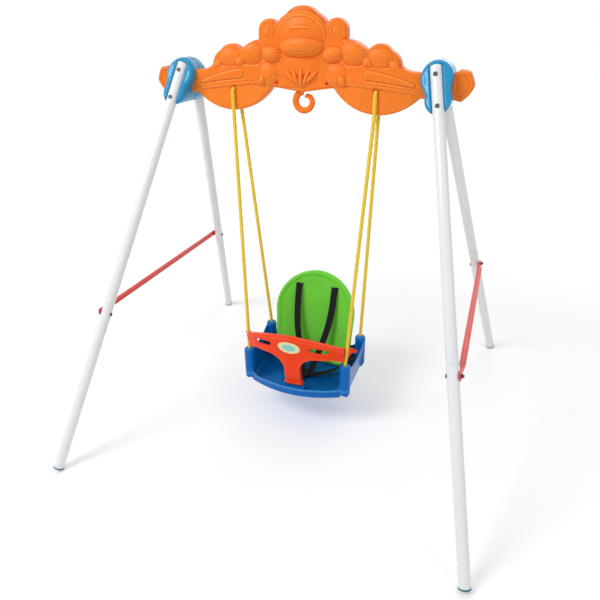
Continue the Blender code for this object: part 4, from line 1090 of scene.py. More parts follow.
def make_brackets():
    finish = plastic("bracket_plastic", colours().bracket, 0.18, coat=0.40, grain=1400.0, variation=0.05)
    step = sizes().bracket_step
    for side, end, name in CORNERS:
        faces_of = bracket_half if side * end > 0 else turned_half
        place = placed(side_matrix(side))
        shell = f"bracket_shell_{name}"
        mesh = moulded(shell, 0.045, (-0.095, 0.042), step, bracket_edge, faces_of, place, sides=10)
        piece(shell, mesh, "frame", finish, [f"bracket_{name}"], 55)


# Legs, feet and braces


def cut_at_floor(mesh):
    """The mesh without what lies below the floor, and closed there."""
    with worked(mesh) as work:
        whole = work.verts[:] + work.edges[:] + work.faces[:]
        cut = bmesh.ops.bisect_plane(
            work, geom=whole, plane_co=(0, 0, 0), plane_no=(0, 0, -1), clear_outer=True
        )
        edges = [e for e in cut["geom_cut"] if isinstance(e, bmesh.types.BMEdge)]
        bmesh.ops.contextual_create(work, geom=edges)
        bmesh.ops.recalc_face_normals(work, faces=work.faces)
    return mesh


def make_legs():
    """An upper tube whose narrowed end goes into the lower one, and a foot plug cut level with the floor."""
    leg_paint = painted("leg_paint", colours().leg, 0.30, (60, 60, 2.0))
    foot_plastic = plastic("foot_plastic", colours().foot, 0.40, coat=0.1)
    sides = sizes().tube_sides
    inner = TUBE_RADIUS - TUBE_WALL
    swage = inner - CLEARANCE
    bore = swage - TUBE_WALL
    joint = -BRACE_BOLT_DISTANCE + SLEEVE_HALF
    collar = -LEG_LENGTH + FOOT_REACH
    cap_radius = TUBE_RADIUS + 0.0008
    tubes = {
        "upper": [
            (TUBE_RADIUS, TUBE_ABOVE_BOLT), (TUBE_RADIUS, joint + CLEARANCE), (swage, joint + CLEARANCE),
            (swage, joint - 2 * SLEEVE_HALF), (bore, joint - 2 * SLEEVE_HALF), (bore, joint + TUBE_RADIUS),
            (inner, joint + 2 * TUBE_RADIUS), (inner, TUBE_ABOVE_BOLT),
        ],
        "lower": [(TUBE_RADIUS, joint), (TUBE_RADIUS, collar), (inner, collar), (inner, joint)],
    }
    cap_profile = [
        (0, collar + 0.030), (inner - 0.0012, collar + 0.030), (inner - CLEARANCE, collar + 0.0288),
        (inner - CLEARANCE, collar - CLEARANCE), (cap_radius, collar - CLEARANCE),
        (cap_radius, collar - FOOT_RIM), (0, collar - FOOT_RIM),
    ]
    for side, end, name in CORNERS:
        place = leg_matrix(side, end)
        for part, profile in tubes.items():
            mesh = moved(turned(profile, sides, 0.0005), place)
            piece(f"tube_{part}_{name}", mesh, "frame", leg_paint, [f"leg_{part}_{name}"])
        cap = cut_at_floor(moved(turned(cap_profile, sides, 0.0006), place))
        piece(f"foot_end_{name}", cap, "frame", foot_plastic, [f"foot_cap_{name}"])


def signed_power(value, power):
    return abs(value) ** power * (1 if value > 0 else -1)


def brace_ring(y, reach):
    """The brace's section: round along its middle, pressed flat over each end and rounded off at the tips."""
    from_bolt = reach - abs(y)
    flatness = min(1, max(0, (BRACE_PRESSED + BRACE_TAPER - from_bolt) / BRACE_TAPER))
    flatness = flatness * flatness * (3 - 2 * flatness)
    half_width = BRACE_RADIUS + (BRACE_TIP - BRACE_RADIUS) * flatness
    half_depth = BRACE_RADIUS + (BRACE_FLAT / 2 - BRACE_RADIUS) * flatness
    if from_bolt < 0:
        half_width *= max(0.04, 1 - (from_bolt / BRACE_TIP) ** 2) ** 0.5
    power = 1 - 0.55 * flatness
    return [
        (half_depth * signed_power(cos(t), power), y, half_width * signed_power(sin(t), power))
        for t in full_turn(32)
    ]


def make_braces():
    finish = painted("brace_paint", colours().brace, 0.34, (60, 2.0, 60))
    for side, name in SIDES:
        _, reach, height = brace_point(side, side)
        stations = [-BRACE_TIP * s for s in (0.998, 0.97, 0.9, 0.78, 0.6, 0.4, 0.2, 0)]
        stations += [BRACE_PRESSED + BRACE_TAPER * k / 12 for k in range(13)]
        half = [reach - s for s in stations]
        mesh = facing_out(loft([brace_ring(y, reach) for y in half + [-y for y in reversed(half)]]))
        place = side_matrix(side) @ Matrix.Translation((TUBE_RADIUS + CLEARANCE + BRACE_FLAT / 2, 0, height))
        piece(f"brace_tube_{name}", moved(mesh, place), "frame", finish, [f"brace_{name}"], 50)


# Fasteners, set by Geometry Nodes

HEAD_HEIGHT = 0.0030
SHANK_RADIUS = 0.0030
NUT_RADIUS = 0.0068


def fastener_tree():
    """Sets one fastener on each point, turned as the point's own attribute says."""
    tree, given = new_tree("set_fasteners", {"Fastener": "Object", "Size": 1.0})
    source = node(tree, "GeometryNodeObjectInfo", {"Object": given["Fastener"]}).outputs["Geometry"]
    turn = recalled(tree, "turn", "FLOAT_VECTOR")
    euler = node(tree, "FunctionNodeEulerToRotation", {"Euler": turn}).outputs[0]
    end_tree(tree, set_on(tree, given["Geometry"], source, euler, [given["Size"]] * 3), given["Finish"])
    return tree


def set_fasteners(tree, name, fastener, matrices, finish, replaces):
    points = mesh_of(f"{name}_points", [m.translation for m in matrices], [])
    turns = points.attributes.new("turn", "FLOAT_VECTOR", "POINT")
    for entry, matrix in zip(turns.data, matrices):
        entry.vector = matrix.to_euler()
    source = linked(f"{name}_source", fastener)
    mesh = grown(name, points, tree, {"Fastener": source, "Size": 1.0, "Finish": finish})
    bpy.data.objects.remove(source, do_unlink=True)
    piece(name, mesh, "frame", finish, replaces, 35)


def bolt_mesh(head_bottom, tail):
    """A pan-head bolt with a round socket, its head on this height and its shank down to the tail."""
    top = head_bottom + HEAD_HEIGHT
    socket = [(0, top - 0.0015), (0.0021, top - 0.0015), (0.0021, top)]
    head = [(0.0040, top), (0.0056, top - 0.0010), (0.0060, top - HEAD_HEIGHT)]
    shank = [(SHANK_RADIUS, top - HEAD_HEIGHT), (SHANK_RADIUS, tail), (0, tail)]
    return turned(socket + head + shank, 30, 0.0003)


def nut_mesh(low):
    """A hexagon nut with chamfered corners."""
    levels = ((0.90, 0), (1.0, 0.0007), (1.0, 0.0043), (0.90, 0.0050))
    rings = [circle(NUT_RADIUS * share, low + up, 6) for share, up in levels]
    return bevelled(facing_out(loft(rings)), 0.0003, 2)


def make_fasteners():
    finish = metal("dull_steel", colours().steel)
    tree = fastener_tree()
    upright, flip = Matrix.Rotation(-pi / 2, 4, "X"), Matrix.Rotation(pi, 4, "X")
    through = [
        leg_matrix(side, end) @ Matrix.Translation((0, 0, -row * BOLT_PITCH)) @ upright
        for side, end, _ in CORNERS
        for row in range(2)
    ]
    across = [brace_bolt_matrix(side, end) for side, end, _ in CORNERS]
    seat = TUBE_RADIUS + CLEARANCE
    outer = TUBE_RADIUS + 2 * CLEARANCE + BRACE_FLAT
    for name, fastener, places in (
        ("bracket_bolt", bolt_mesh(seat, -TUBE_RADIUS - 0.0035), through),
        ("brace_bolt", bolt_mesh(seat, -outer - 0.0080), [place @ flip for place in across]),
        ("brace_nut", nut_mesh(outer), across),
    ):
        set_fasteners(tree, f"{name}s", fastener, places, finish, cad(name))


# Ropes, braided by Geometry Nodes


def rope_route(side):
    """The rope's line: from the front knot up its strand, through the lobe and down to the rear knot."""
    bend_y, bend_z = ROPE_FACE - ROPE_BEND, ROPE_HOLE_Z - ROPE_BEND
    route = []
    for end in (-1, 1):
        _, upper, along = strand(side, end)
        half = [knot_place(side, end).lerp(upper - along * ROPE_FREE, k / 24) for k in range(25)]
        half += [upper - along * ROPE_FREE * (1 - k / 6) for k in range(1, 7)]
        over = [(ROPE_FACE, LOBE_BOTTOM + (bend_z - LOBE_BOTTOM) * k / 6) for k in range(1, 7)]
        over += [(bend_y + ROPE_BEND * cos(t), bend_z + ROPE_BEND * sin(t)) for t in quarter(8)[1:]]
        half += [Vector((side * LOBE_X, end * y, z)) for y, z in over]
        route += half if end < 0 else reversed(half)
    return route


def braid_tree():
    """Sweeps a round cord along a curve and raises its crossing plaits."""
    numbers = {"Radius": ROPE_RADIUS, "Step": 0.0026, "Turns per metre": 42.0, "Plait depth": PLAIT_DEPTH}
    tree, given = new_tree("braided_cord", numbers)
    line = {"Curve": given["Geometry"], "Length": given["Step"]}
    even = node(tree, "GeometryNodeResampleCurve", line, mode="LENGTH").outputs[0]
    even = stored(tree, even, "run", node(tree, "GeometryNodeSplineParameter").outputs["Length"])
    section = {"Resolution": CORD_SIDES, "Radius": given["Radius"]}
    ring = node(tree, "GeometryNodeCurvePrimitiveCircle", section).outputs[0]
    index = node(tree, "GeometryNodeInputIndex").outputs[0]
    ring = stored(tree, ring, "around", maths(tree, "DIVIDE", index, CORD_SIDES))
    sweep = {"Curve": even, "Profile Curve": ring, "Fill Caps": True}
    cord = node(tree, "GeometryNodeCurveToMesh", sweep).outputs[0]
    around = recalled(tree, "around")
    wound = maths(tree, "MULTIPLY", recalled(tree, "run"), given["Turns per metre"])
    waves = []
    for plaits in (CORD_PLAITS, -CORD_PLAITS):
        spun = maths(tree, "MULTIPLY_ADD", around, plaits, wound)
        waves.append(maths(tree, "ABSOLUTE", maths(tree, "SINE", maths(tree, "MULTIPLY", spun, pi))))
    cord = stored(tree, cord, "plait", maths(tree, "MULTIPLY", *waves))
    below = maths(tree, "SUBTRACT", recalled(tree, "plait"), 1.0)
    depth = maths(tree, "MULTIPLY", below, given["Plait depth"])
    normal = node(tree, "GeometryNodeInputNormal").outputs[0]
    move = node(tree, "ShaderNodeVectorMath", {0: normal, "Scale": depth}, operation="SCALE").outputs[0]
    shaped = node(tree, "GeometryNodeSetPosition", {"Geometry": cord, "Offset": move}).outputs[0]
    end_tree(tree, shaped, given["Finish"])
    return tree


def curve_of(name, route):
    data = bpy.data.curves.new(name, "CURVE")
    data.dimensions = "3D"
    spline = data.splines.new("POLY")
    spline.points.add(len(route) - 1)
    for point, place in zip(spline.points, route):
        point.co = (*place, 1)
    return data


def make_ropes():
    finish = rope_finish()
    tree = braid_tree()
    values = {
        "Radius": ROPE_RADIUS + 0.0005, "Turns per metre": sizes().braid_turns, "Plait depth": PLAIT_DEPTH,
        "Finish": finish,
    }
    for side, name in SIDES:
        start = curve_of(f"rope_line_{name}", rope_route(side))
        mesh = facing_out(grown(f"rope_cord_{name}", start, tree, values))
        stands_for = [f"rope_{part}_{name}" for part in ("loop", "front", "rear")]
        rope = piece(f"rope_cord_{name}", mesh, None, finish, stands_for, 70)
        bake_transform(rope)
    # The knots carry no plait mark, so the cord's painted shade darkens them all over.
    for n in cad("rope_knot"):
        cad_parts[n].data.materials.clear()
        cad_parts[n].data.materials.append(finish)


# Seat pan


def pan_ring(inset, z):
    """A ring of the pan's plan: straight sides and rear, round corners and a bowed front."""
    corner = max(0.006, PAN_CORNER - inset)
    span = POST_X + POST_RADIUS - inset - corner
    rear = POST_REAR_Y + POST_RADIUS - inset - corner
    front = POST_FRONT_Y - POST_RADIUS + inset

    def round_corner(x, y, start):
        return [(x + corner * cos(start + t), y + corner * sin(start + t), z) for t in quarter(11)]

    bow = [-span + 2 * span * k / 32 for k in range(1, 32)]
    return (
        round_corner(span, rear, 0)
        + round_corner(-span, rear, pi / 2)
        + round_corner(-span, front + corner, pi)
        + [(x, front - PAN_BOW * (1 - (x / span) ** 2), z) for x in bow]
        + round_corner(span, front + corner, 3 * pi / 2)
    )


def pan_body(inset, floor, top):
    """The pan's outside or its hollow, from the fillet round its floor to its top."""
    foot = [
        pan_ring(PAN_TAPER + inset + PAN_FILLET * (1 - sin(t)), floor + PAN_FILLET * (1 - cos(t)))
        for t in quarter(6)
    ]
    return loft(foot + [pan_ring(PAN_TOP_TAPER + inset, top)])


def pan_inside(z):
    """Half the width between the pan's side walls at this height above its fillet."""
    low = FLOOR_TOP + PAN_FILLET
    flare = (PAN_TAPER - PAN_TOP_TAPER) * (z - low) / (HOLLOW_TOP - low)
    return POST_X + POST_RADIUS - PAN_WALL - PAN_TAPER + flare


def pan_window(low, near, far):
    """What is cut away above a low front or rear wall."""
    half = POST_X - POST_RADIUS * 0.4
    r = min(WINDOW_CORNER, SIDE_TOP - low)
    right = [(half - r + r * sin(t), low + r - r * cos(t)) for t in quarter(16)]
    outline = mirrored([(0, low)] + right + [(half, ABOVE_PAN), (0, ABOVE_PAN)])
    return facing_out(loft([[(x, y, z) for x, z in outline] for y in (near, far)]))


def side_dip():
    """What is cut away between the posts along both sides."""
    low, high = POST_FRONT_Y + POST_RADIUS, POST_REAR_Y - POST_RADIUS
    corners = [(low, SIDE_TOP, -SIDE_DIP), (high, SIDE_TOP, 0), (high, ABOVE_PAN, 0), (low, ABOVE_PAN, 0)]
    return facing_out(loft([[(x, y, z) for y, z in arc_outline(corners)] for x in (-0.3, 0.3)]))


def guard_step(inset):
    """The block in front of the lip that the guard's stem stands on, or its hollow underneath."""
    front = POST_FRONT_Y - POST_RADIUS - PAN_BOW + PAN_TAPER
    half, far = GUARD_STEP_HALF - inset, GUARD_STEP_REAR - inset
    bow = PAN_BOW * (half / POST_X) ** 2
    levels = [(PAN_BOTTOM + 0.002, 0.013), (PAN_BOTTOM + 0.013, 0.00175), (LIP_TOP - inset, 0)]
    if inset:
        levels = [(PAN_BOTTOM - 0.004, 0.013)] + levels
    rings = []
    for z, back in levels:
        near = front + back + 2 * inset
        plan = [(-half, near + bow), (0, near), (half, near + bow), (half, far), (-half, far)]
        rings.append([(x, y, z) for x, y in plan])
    return loft(rings)


def rim_bead():
    """A bead that stiffens the front lip's edge."""
    half = POST_X - POST_RADIUS - 0.004
    span = POST_X + POST_RADIUS - 0.0095 - BEAD_INSET
    route = []
    for x in (-half + 2 * half * k / 32 for k in range(33)):
        y = POST_FRONT_Y - POST_RADIUS + BEAD_INSET - PAN_BOW * (1 - (x / span) ** 2)
        route.append(Vector((x, y, LIP_TOP - 0.0012)))
    rings = []
    for here, ahead in zip(route, headings(route)):
        across = Vector((-ahead.y, ahead.x, 0))
        rings.append([
            here + across * BEAD_HALF[0] * cos(t) + Vector((0, 0, BEAD_HALF[1] * sin(t)))
            for t in full_turn(14)
        ])
    return facing_out(loft(rings))


def pan_mesh():
    """The pan with its posts, bored for the ropes and opened below for their knots."""
    dome = POST_RADIUS * 0.55
    cap = [(POST_RADIUS - dome + dome * sin(t), POST_TOP - dome + dome * cos(t)) for t in quarter(8)]
    foot = [(POST_RADIUS, 0.022), (POST_RADIUS - 0.006, 0.006), (POST_RADIUS - 0.008, 0.002), (0, 0.002)]
    post_profile = [(0, POST_TOP)] + cap + [(radius, PAN_BOTTOM + up) for radius, up in foot]
    cuts = [
        ("DIFFERENCE", pan_body(PAN_WALL, FLOOR_TOP, HOLLOW_TOP)),
        ("DIFFERENCE", pan_window(LIP_TOP, -0.4, POST_FRONT_Y + POST_RADIUS)),
        ("DIFFERENCE", pan_window(REAR_TOP, POST_REAR_Y - POST_RADIUS, 0.4)),
        ("DIFFERENCE", side_dip()),
        ("UNION", guard_step(0)),
        ("DIFFERENCE", guard_step(0.003)),
    ]
    for side, end, _ in CORNERS:
        place = Matrix.Translation((side * POST_X, POST_Y[end], 0))
        cuts.append(("UNION", moved(turned(post_profile, 56), place)))
    cuts.append(("UNION", rim_bead()))
    for side, end, _ in CORNERS:
        lower, _, along = strand(side, end)
        lean = Matrix.Translation(lower) @ along.to_track_quat("Z", "Y").to_matrix().to_4x4()
        cuts.append(("DIFFERENCE", moved(rod(ROPE_HOLE_RADIUS, 0.060, -0.060, 28), lean)))
        knot = knot_place(side, end)
        room = rod(KNOT_ROOM, POST_TOP - POST_BOSS, PAN_BOTTOM - 0.02, 36)
        cuts.append(("DIFFERENCE", moved(room, Matrix.Translation((knot.x, knot.y, 0)))))
    return finished_by(
        cut_by(pan_body(0, PAN_BOTTOM, SIDE_TOP), cuts),
        ("REMESH", {"mode": "VOXEL", "voxel_size": sizes().voxel, "adaptivity": 0.0}),
        ("SMOOTH", {"factor": 0.5, "iterations": 5}),
    )


def make_seat_pan():
    finish = plastic(
        "seat_plastic", colours().seat, 0.24, coat=0.07, grain=1300.0, variation=0.08,
        painted_highlight=("lip", (0.070, 0.360, 0.760), 0.75),
    )
    mesh = pan_mesh()
    x, y, z = np.array([v.co[:] for v in mesh.vertices]).T
    off_step = (np.abs(x) > GUARD_STEP_HALF + 0.003) | (y < LIP_EDGE_Y)
    front_wall = (y < POST_FRONT_Y) & off_step
    # The lip mark is painted highlight: a pale line along the top of the front lip and on the post tops.
    lip = bell(z - LIP_TOP, 0.0030, 1.0) * front_wall
    noted(mesh, "lip", np.maximum(lip, bell(z - POST_TOP, 0.0040, 0.5)))
    piece("seat_tub", mesh, "swing", finish, ["seat_pan"], 80)


# Backrest

BACK_SEAT_Z = FLOOR_TOP + CLEARANCE + BACK_DEPTH * sin(BACK_LEAN)
BACK_PLACE = Matrix.Translation((0, 0.066, BACK_SEAT_Z)) @ Matrix.Rotation(-BACK_LEAN, 4, "X")
BACK_SPRING = BACK_HEIGHT - BACK_HALF_WIDTH
BACK_RIB = (0.036, 0.150)
LEAST_WALL = 0.0022
BACK_OUTLINE = mirrored(
    [(0, 0), (0.134, 0), (0.140, 0.006)]
    + [(BACK_HALF_WIDTH * cos(t), BACK_SPRING + BACK_HALF_WIDTH * sin(t)) for t in quarter(48)]
)


def back_slot(x, z):
    return off_slot(np.abs(x) - STRAP_SLOT_X, z - STRAP_SLOT_Z, 0.0125, 0.0024)


def back_edge(x, z):
    return np.minimum(inside(BACK_OUTLINE, x, z), back_slot(x, z))


def back_faces(x, z, edge):
    """A sunk, slightly dished panel inside a beaded rim. Its rear has ribs, and plain skin round the slots."""
    rim = inside(BACK_OUTLINE, x, z)
    slot = back_slot(x, z)
    dish = bell(x, 0.060, 0.0024) * step_up(rim, 0.030, 0.030)
    front = BACK_STEP * step_up(rim, 0.0150, 0.0050)
    front = front - bell(rim - 0.0105, 0.0030, 0.0010) - bell(slot - 0.0028, 0.0018, 0.0009)
    front = -rounded(edge, -front, 0.0030) + dish
    skin = BACK_STEP + BACK_SKIN + dish
    rear = BACK_DEPTH + (skin - BACK_DEPTH) * step_up(rim, 0.0052, 0.0036)
    rib = np.minimum(np.abs(np.abs(x) - BACK_RIB[0]), np.abs(z - BACK_RIB[1]))
    rear = rear + 0.0050 * step_up(0.0018 - rib, 0, 0.0020) * step_up(rim, 0.006, 0.002)
    near_slot = step_up(0.0030 - slot, 0, 0.002)
    rear = rear * (1 - near_slot) + skin * near_slot
    return front, np.maximum(rear, front + LEAST_WALL)


def back_bend(points):
    bent = points.copy()
    bent[:, 1] -= BACK_WRAP * (points[:, 0] / BACK_HALF_WIDTH) ** 2
    return placed(BACK_PLACE)(bent)


def make_backrest():
    finish = plastic("backrest_plastic", colours().back, 0.32, coat=0.10, grain=1200.0, variation=0.07)
    step = sizes().panel_step
    mesh = moulded("back_moulding", 0.152, (0, BACK_HEIGHT), step, back_edge, back_faces, back_bend, sides=3)
    piece("back_moulding", mesh, "swing", finish, ["backrest"], 60)


# Front guard and its label

GUARD_FOOT = LIP_TOP + CLEARANCE
GUARD_SKIN_REAR = -0.0072
NOTCH_DEPTH = 0.0070
FINGER_SLOT = (0.096, 0.326)
LABEL_FRONT = -0.0121
LABEL_REAR = -0.01135
GUARD_OUTLINE = mirrored(arc_outline([
    (0, GUARD_FOOT, 0), (0.033, GUARD_FOOT, 0), (0.033, GUARD_FOOT + 0.010, 0),
    (0.029, GUARD_FOOT + 0.016, 0), (0.029, 0.235, 0.018), (0.090, 0.286, 0),
    (0.126, 0.286, 0.002), (POST_X, GUARD_END[0], -0.002),
    (0.2005, sum(GUARD_END) / 2, -0.006), (POST_X, GUARD_END[1], -0.010), (0, GUARD_TOP, 0),
], closed=False))


def guard_plan():
    """The guard's middle line from above at x >= 0 (x, y and turn), and the rope's place and direction."""
    lower, _, along = strand(1, -1)
    at = lower + along * ((sum(GUARD_END) / 2 - lower.z) / along.z)
    rise = at.y - GUARD_CENTRE_Y
    radius = (at.x**2 + rise**2) / (2 * rise)
    xs = np.linspace(0, at.x, 60)
    turns = np.arcsin(xs / radius)
    ys = GUARD_CENTRE_Y + radius * (1 - np.cos(turns))
    last = atan2(GUARD_TIP[1] - at.y, GUARD_TIP[0] - at.x)
    share = np.linspace(0, 1, 12)[1:]
    xs = np.concatenate([xs, at.x + (GUARD_TIP[0] + 0.004 - at.x) * share])
    ys = np.concatenate([ys, at.y + (GUARD_TIP[1] + 0.004 - at.y) * share**1.15])
    turns = np.concatenate([turns, turns[-1] + (last - turns[-1]) * np.minimum(1, 1.6 * share)])
    return xs, ys, turns, at, along


GUARD_X, GUARD_Y, GUARD_TURN, ROPE_AT, ROPE_ALONG = guard_plan()


def finger_slot(x, z):
    u, v = tilted(np.abs(x) - FINGER_SLOT[0], z - FINGER_SLOT[1], radians(9))
    return off_slot(u, v, 0.022, 0.009)


def guard_edge(x, z):
    return np.minimum(inside(GUARD_OUTLINE, x, z), finger_slot(x, z))


def guard_faces(x, z, edge):
    """A front with beads inside its rim, round its slots and along its stem, and a hollow rear.

    The ropes' notches are wide enough for the spread of the ropes up to the top of the guard's travel.
    """
    a = np.abs(x)
    outline = inside(GUARD_OUTLINE, x, z)
    front = -rounded(edge, GUARD_HALF_DEPTH, 0.0038)
    front = front - bell(outline - 0.0062, 0.0024, 0.0020)
    front = front - bell(finger_slot(x, z) - 0.0030, 0.0016, 0.0010)
    front = front - bell(a - 0.0165, 0.0016, 0.0014) * step_up(0.245 - z, 0, 0.020)
    front = front - 0.0016 * step_up(0.0125 - (z - LIP_TOP), 0, 0.003) * step_up(outline, 0.002, 0.003)
    slant = ROPE_ALONG.x / ROPE_ALONG.z
    rope_x = ROPE_AT.x + slant * (z - ROPE_AT.z)
    notch_end = rope_x + 0.0070 + GUARD_TRAVEL * slant
    notch = step_up(a, rope_x - 0.0068, 0.0024) * step_up(notch_end - a, 0, 0.0024)
    front = front * (1 - notch) + NOTCH_DEPTH * notch
    hollow = step_up(outline, 0.0046, 0.0030) * step_up(0.146 - a, 0, 0.003)
    rear = GUARD_HALF_DEPTH + (GUARD_SKIN_REAR - GUARD_HALF_DEPTH) * hollow
    rear = rear - 0.0016 * (1 - step_up(edge, 0.0016, 0.0032))
    return front, np.maximum(rear, front + 0.0024)


def guard_bend(points):
    """Bends the flat guard to its plan and leans it back towards its foot."""
    a, sign = np.abs(points[:, 0]), np.sign(points[:, 0])
    turn = np.interp(a, GUARD_X, GUARD_TURN)
    bent = points.copy()
    bent[:, 0] = sign * (a - points[:, 1] * np.sin(turn))
    shear = GUARD_SHEAR * (points[:, 2] - ROPE_AT.z)
    bent[:, 1] = np.interp(a, GUARD_X, GUARD_Y) + points[:, 1] * np.cos(turn) - shear
    return bent


# Painted highlight: a pale line on the front bead inside the guard's rim.
def guard_rim_highlight(x, z, depth):
    return bell(inside(GUARD_OUTLINE, x, z) - 0.0060, 0.0026, 1.0) * (depth < 0)


def label_share(x, z, depth=0):
    return oval_share(x, z, (0, LABEL_Z), LABEL_SEMI)


def label_edge(x, z):
    return (1 - label_share(x, z)) * LABEL_SEMI[1] * 1.15


def label_faces(x, z, edge):
    front = LABEL_FRONT + 0.0004 * (1 - step_up(edge, 0.0006, 0.0012))
    return front, np.full(x.shape, LABEL_REAR)


def make_guard():
    # The guard's rim mark is painted highlight along its front bead.
    finish = plastic(
        "guard_plastic", colours().guard, 0.28, coat=0.08, grain=1200.0, variation=0.05,
        painted_highlight=("rim", (1.0, 0.135, 0.045), 0.6),
    )
    mesh = moulded(
        "guard_moulding", 0.205, (LIP_TOP, GUARD_TOP), sizes().panel_step * 0.8,
        guard_edge, guard_faces, guard_bend, marks={"rim": guard_rim_highlight},
    )
    piece("guard_moulding", mesh, "guard", finish, ["t_bar"], 60)
    label = moulded(
        "oval_label", 0.040, (LABEL_Z - 0.025, LABEL_Z + 0.025), 0.0013,
        label_edge, label_faces, guard_bend, sides=1, marks={"share": label_share},
    )
    piece("oval_label", label, "guard", label_finish(), ["t_bar_label"], 50)


# Harness

ALONG_X, ALONG_Y = Vector((1, 0, 0)), Vector((0, 1, 0))
TAPE_SECTION = [
    (-1, -0.35), (-0.94, -0.8), (-0.84, -1), (-0.5, -0.9), (0, -0.95),
    (0.5, -0.9), (0.84, -1), (0.94, -0.8), (1, -0.35),
]
TAPE_SECTION += [(-u, -v) for u, v in TAPE_SECTION]
# Down the backrest: share of the slot's x, drop below the slot and depth behind the front panel.
SHOULDER_ROUTE = [
    (1, 0.050, 0.0065), (1, 0.012, 0.0085), (1, 0, 0.0070), (1, 0, -0.0035), (1, 0.012, -0.0070),
    (0.97, 0.080, -0.0160), (0.85, 0.150, -0.0290), (0.60, 0.220, -0.0430),
]
SHOULDER_WIDTH = 0.96
STITCHED = slice(44, 84)
# From the buckle's middle out to the pan's side wall.
LAP_ROUTE = [(0.060, 0.012, 0.004), (0.105, 0.040, 0.012), (0.142, 0.062, 0.040)]
LAP_END = (0.072, 0.066)
TAPE_LIFT = 0.0013  # of a strap's middle from what it lies on
STITCH_LIFT = 0.00105


def back_point(x, z, behind):
    return BACK_PLACE @ Vector((x, behind - BACK_WRAP * (x / BACK_HALF_WIDTH) ** 2, z))


def webbing(known, across, width=STRAP_WIDTH):
    """Woven tape along a smooth route, with selvedges, whose run and width are kept for its weave."""
    route = smooth_route(known)
    thickness = STRAP_THICKNESS
    rings, runs, run = [], [], 0.0
    for k, (here, ahead) in enumerate(zip(route, headings(route))):
        over = across.cross(ahead).normalized()
        rings.append([here + across * u * width / 2 + over * v * thickness / 2 for u, v in TAPE_SECTION])
        run += (here - route[k - 1]).length if k else 0
        runs.append(run)
    mesh = loft(rings)
    noted(mesh, "run", [r for r in runs for _ in TAPE_SECTION])
    noted(mesh, "over", [u * width / 2 for _ in runs for u, _ in TAPE_SECTION])
    return facing_out(mesh)


def seam_line(known, across, share):
    """The line of a row of stitches beside a strap's edge."""
    route = smooth_route(known)
    line = [
        p + across * share * STRAP_WIDTH / 2 + across.cross(ahead).normalized() * STITCH_LIFT
        for p, ahead in zip(route, headings(route))
    ]
    return line[STITCHED]


def stitch_tree():
    """Sets a stitch on each point of a seam's line."""
    tree, given = new_tree("stitch_row", {"Stitch": 0.0032, "Gap": STITCH_GAP})
    line = {"Curve": given["Geometry"], "Length": maths(tree, "ADD", given["Stitch"], given["Gap"])}
    dots = node(tree, "GeometryNodeCurveToPoints", line, mode="LENGTH").outputs
    thread = node(tree, "GeometryNodeMeshUVSphere", {"Segments": 8, "Rings": 6, "Radius": 0.5}).outputs[0]
    size = (0.0007, 0.0007, given["Stitch"])
    end_tree(tree, set_on(tree, dots["Points"], thread, dots["Rotation"], size), given["Finish"])
    return tree


def buckle_mesh():
    """A harness buckle: a rounded body with a ringed push button and two grip ribs on each side."""
    half_x, half_y, top = (s / 2 for s in BUCKLE_SIZE)
    button = [(0, top + 0.0006), (0.0075, top + 0.0002), (0.0095, top - 0.0012), (0.0095, 0), (0, 0)]
    ring = [(0.0112, top - 0.0006), (0.0134, top - 0.0006), (0.0134, 0), (0.0112, 0)]
    parts = [
        bevelled(box((-half_x, -half_y, -top), (half_x, half_y, top)), 0.0042, 5),
        turned(button, 40, 0.0008),
        turned(ring, 44, 0.0006),
    ]
    for x in (-0.0185, -0.0160, 0.0160, 0.0185):
        low, high = (x - 0.0009, -half_y * 0.62, top - 0.002), (x + 0.0009, half_y * 0.62, top + 0.0007)
        parts.append(bevelled(box(low, high), 0.0005, 2))
    return moved(joined("harness_buckle", parts), Matrix.Translation((0, BUCKLE_Y, BUCKLE_MIDDLE)))


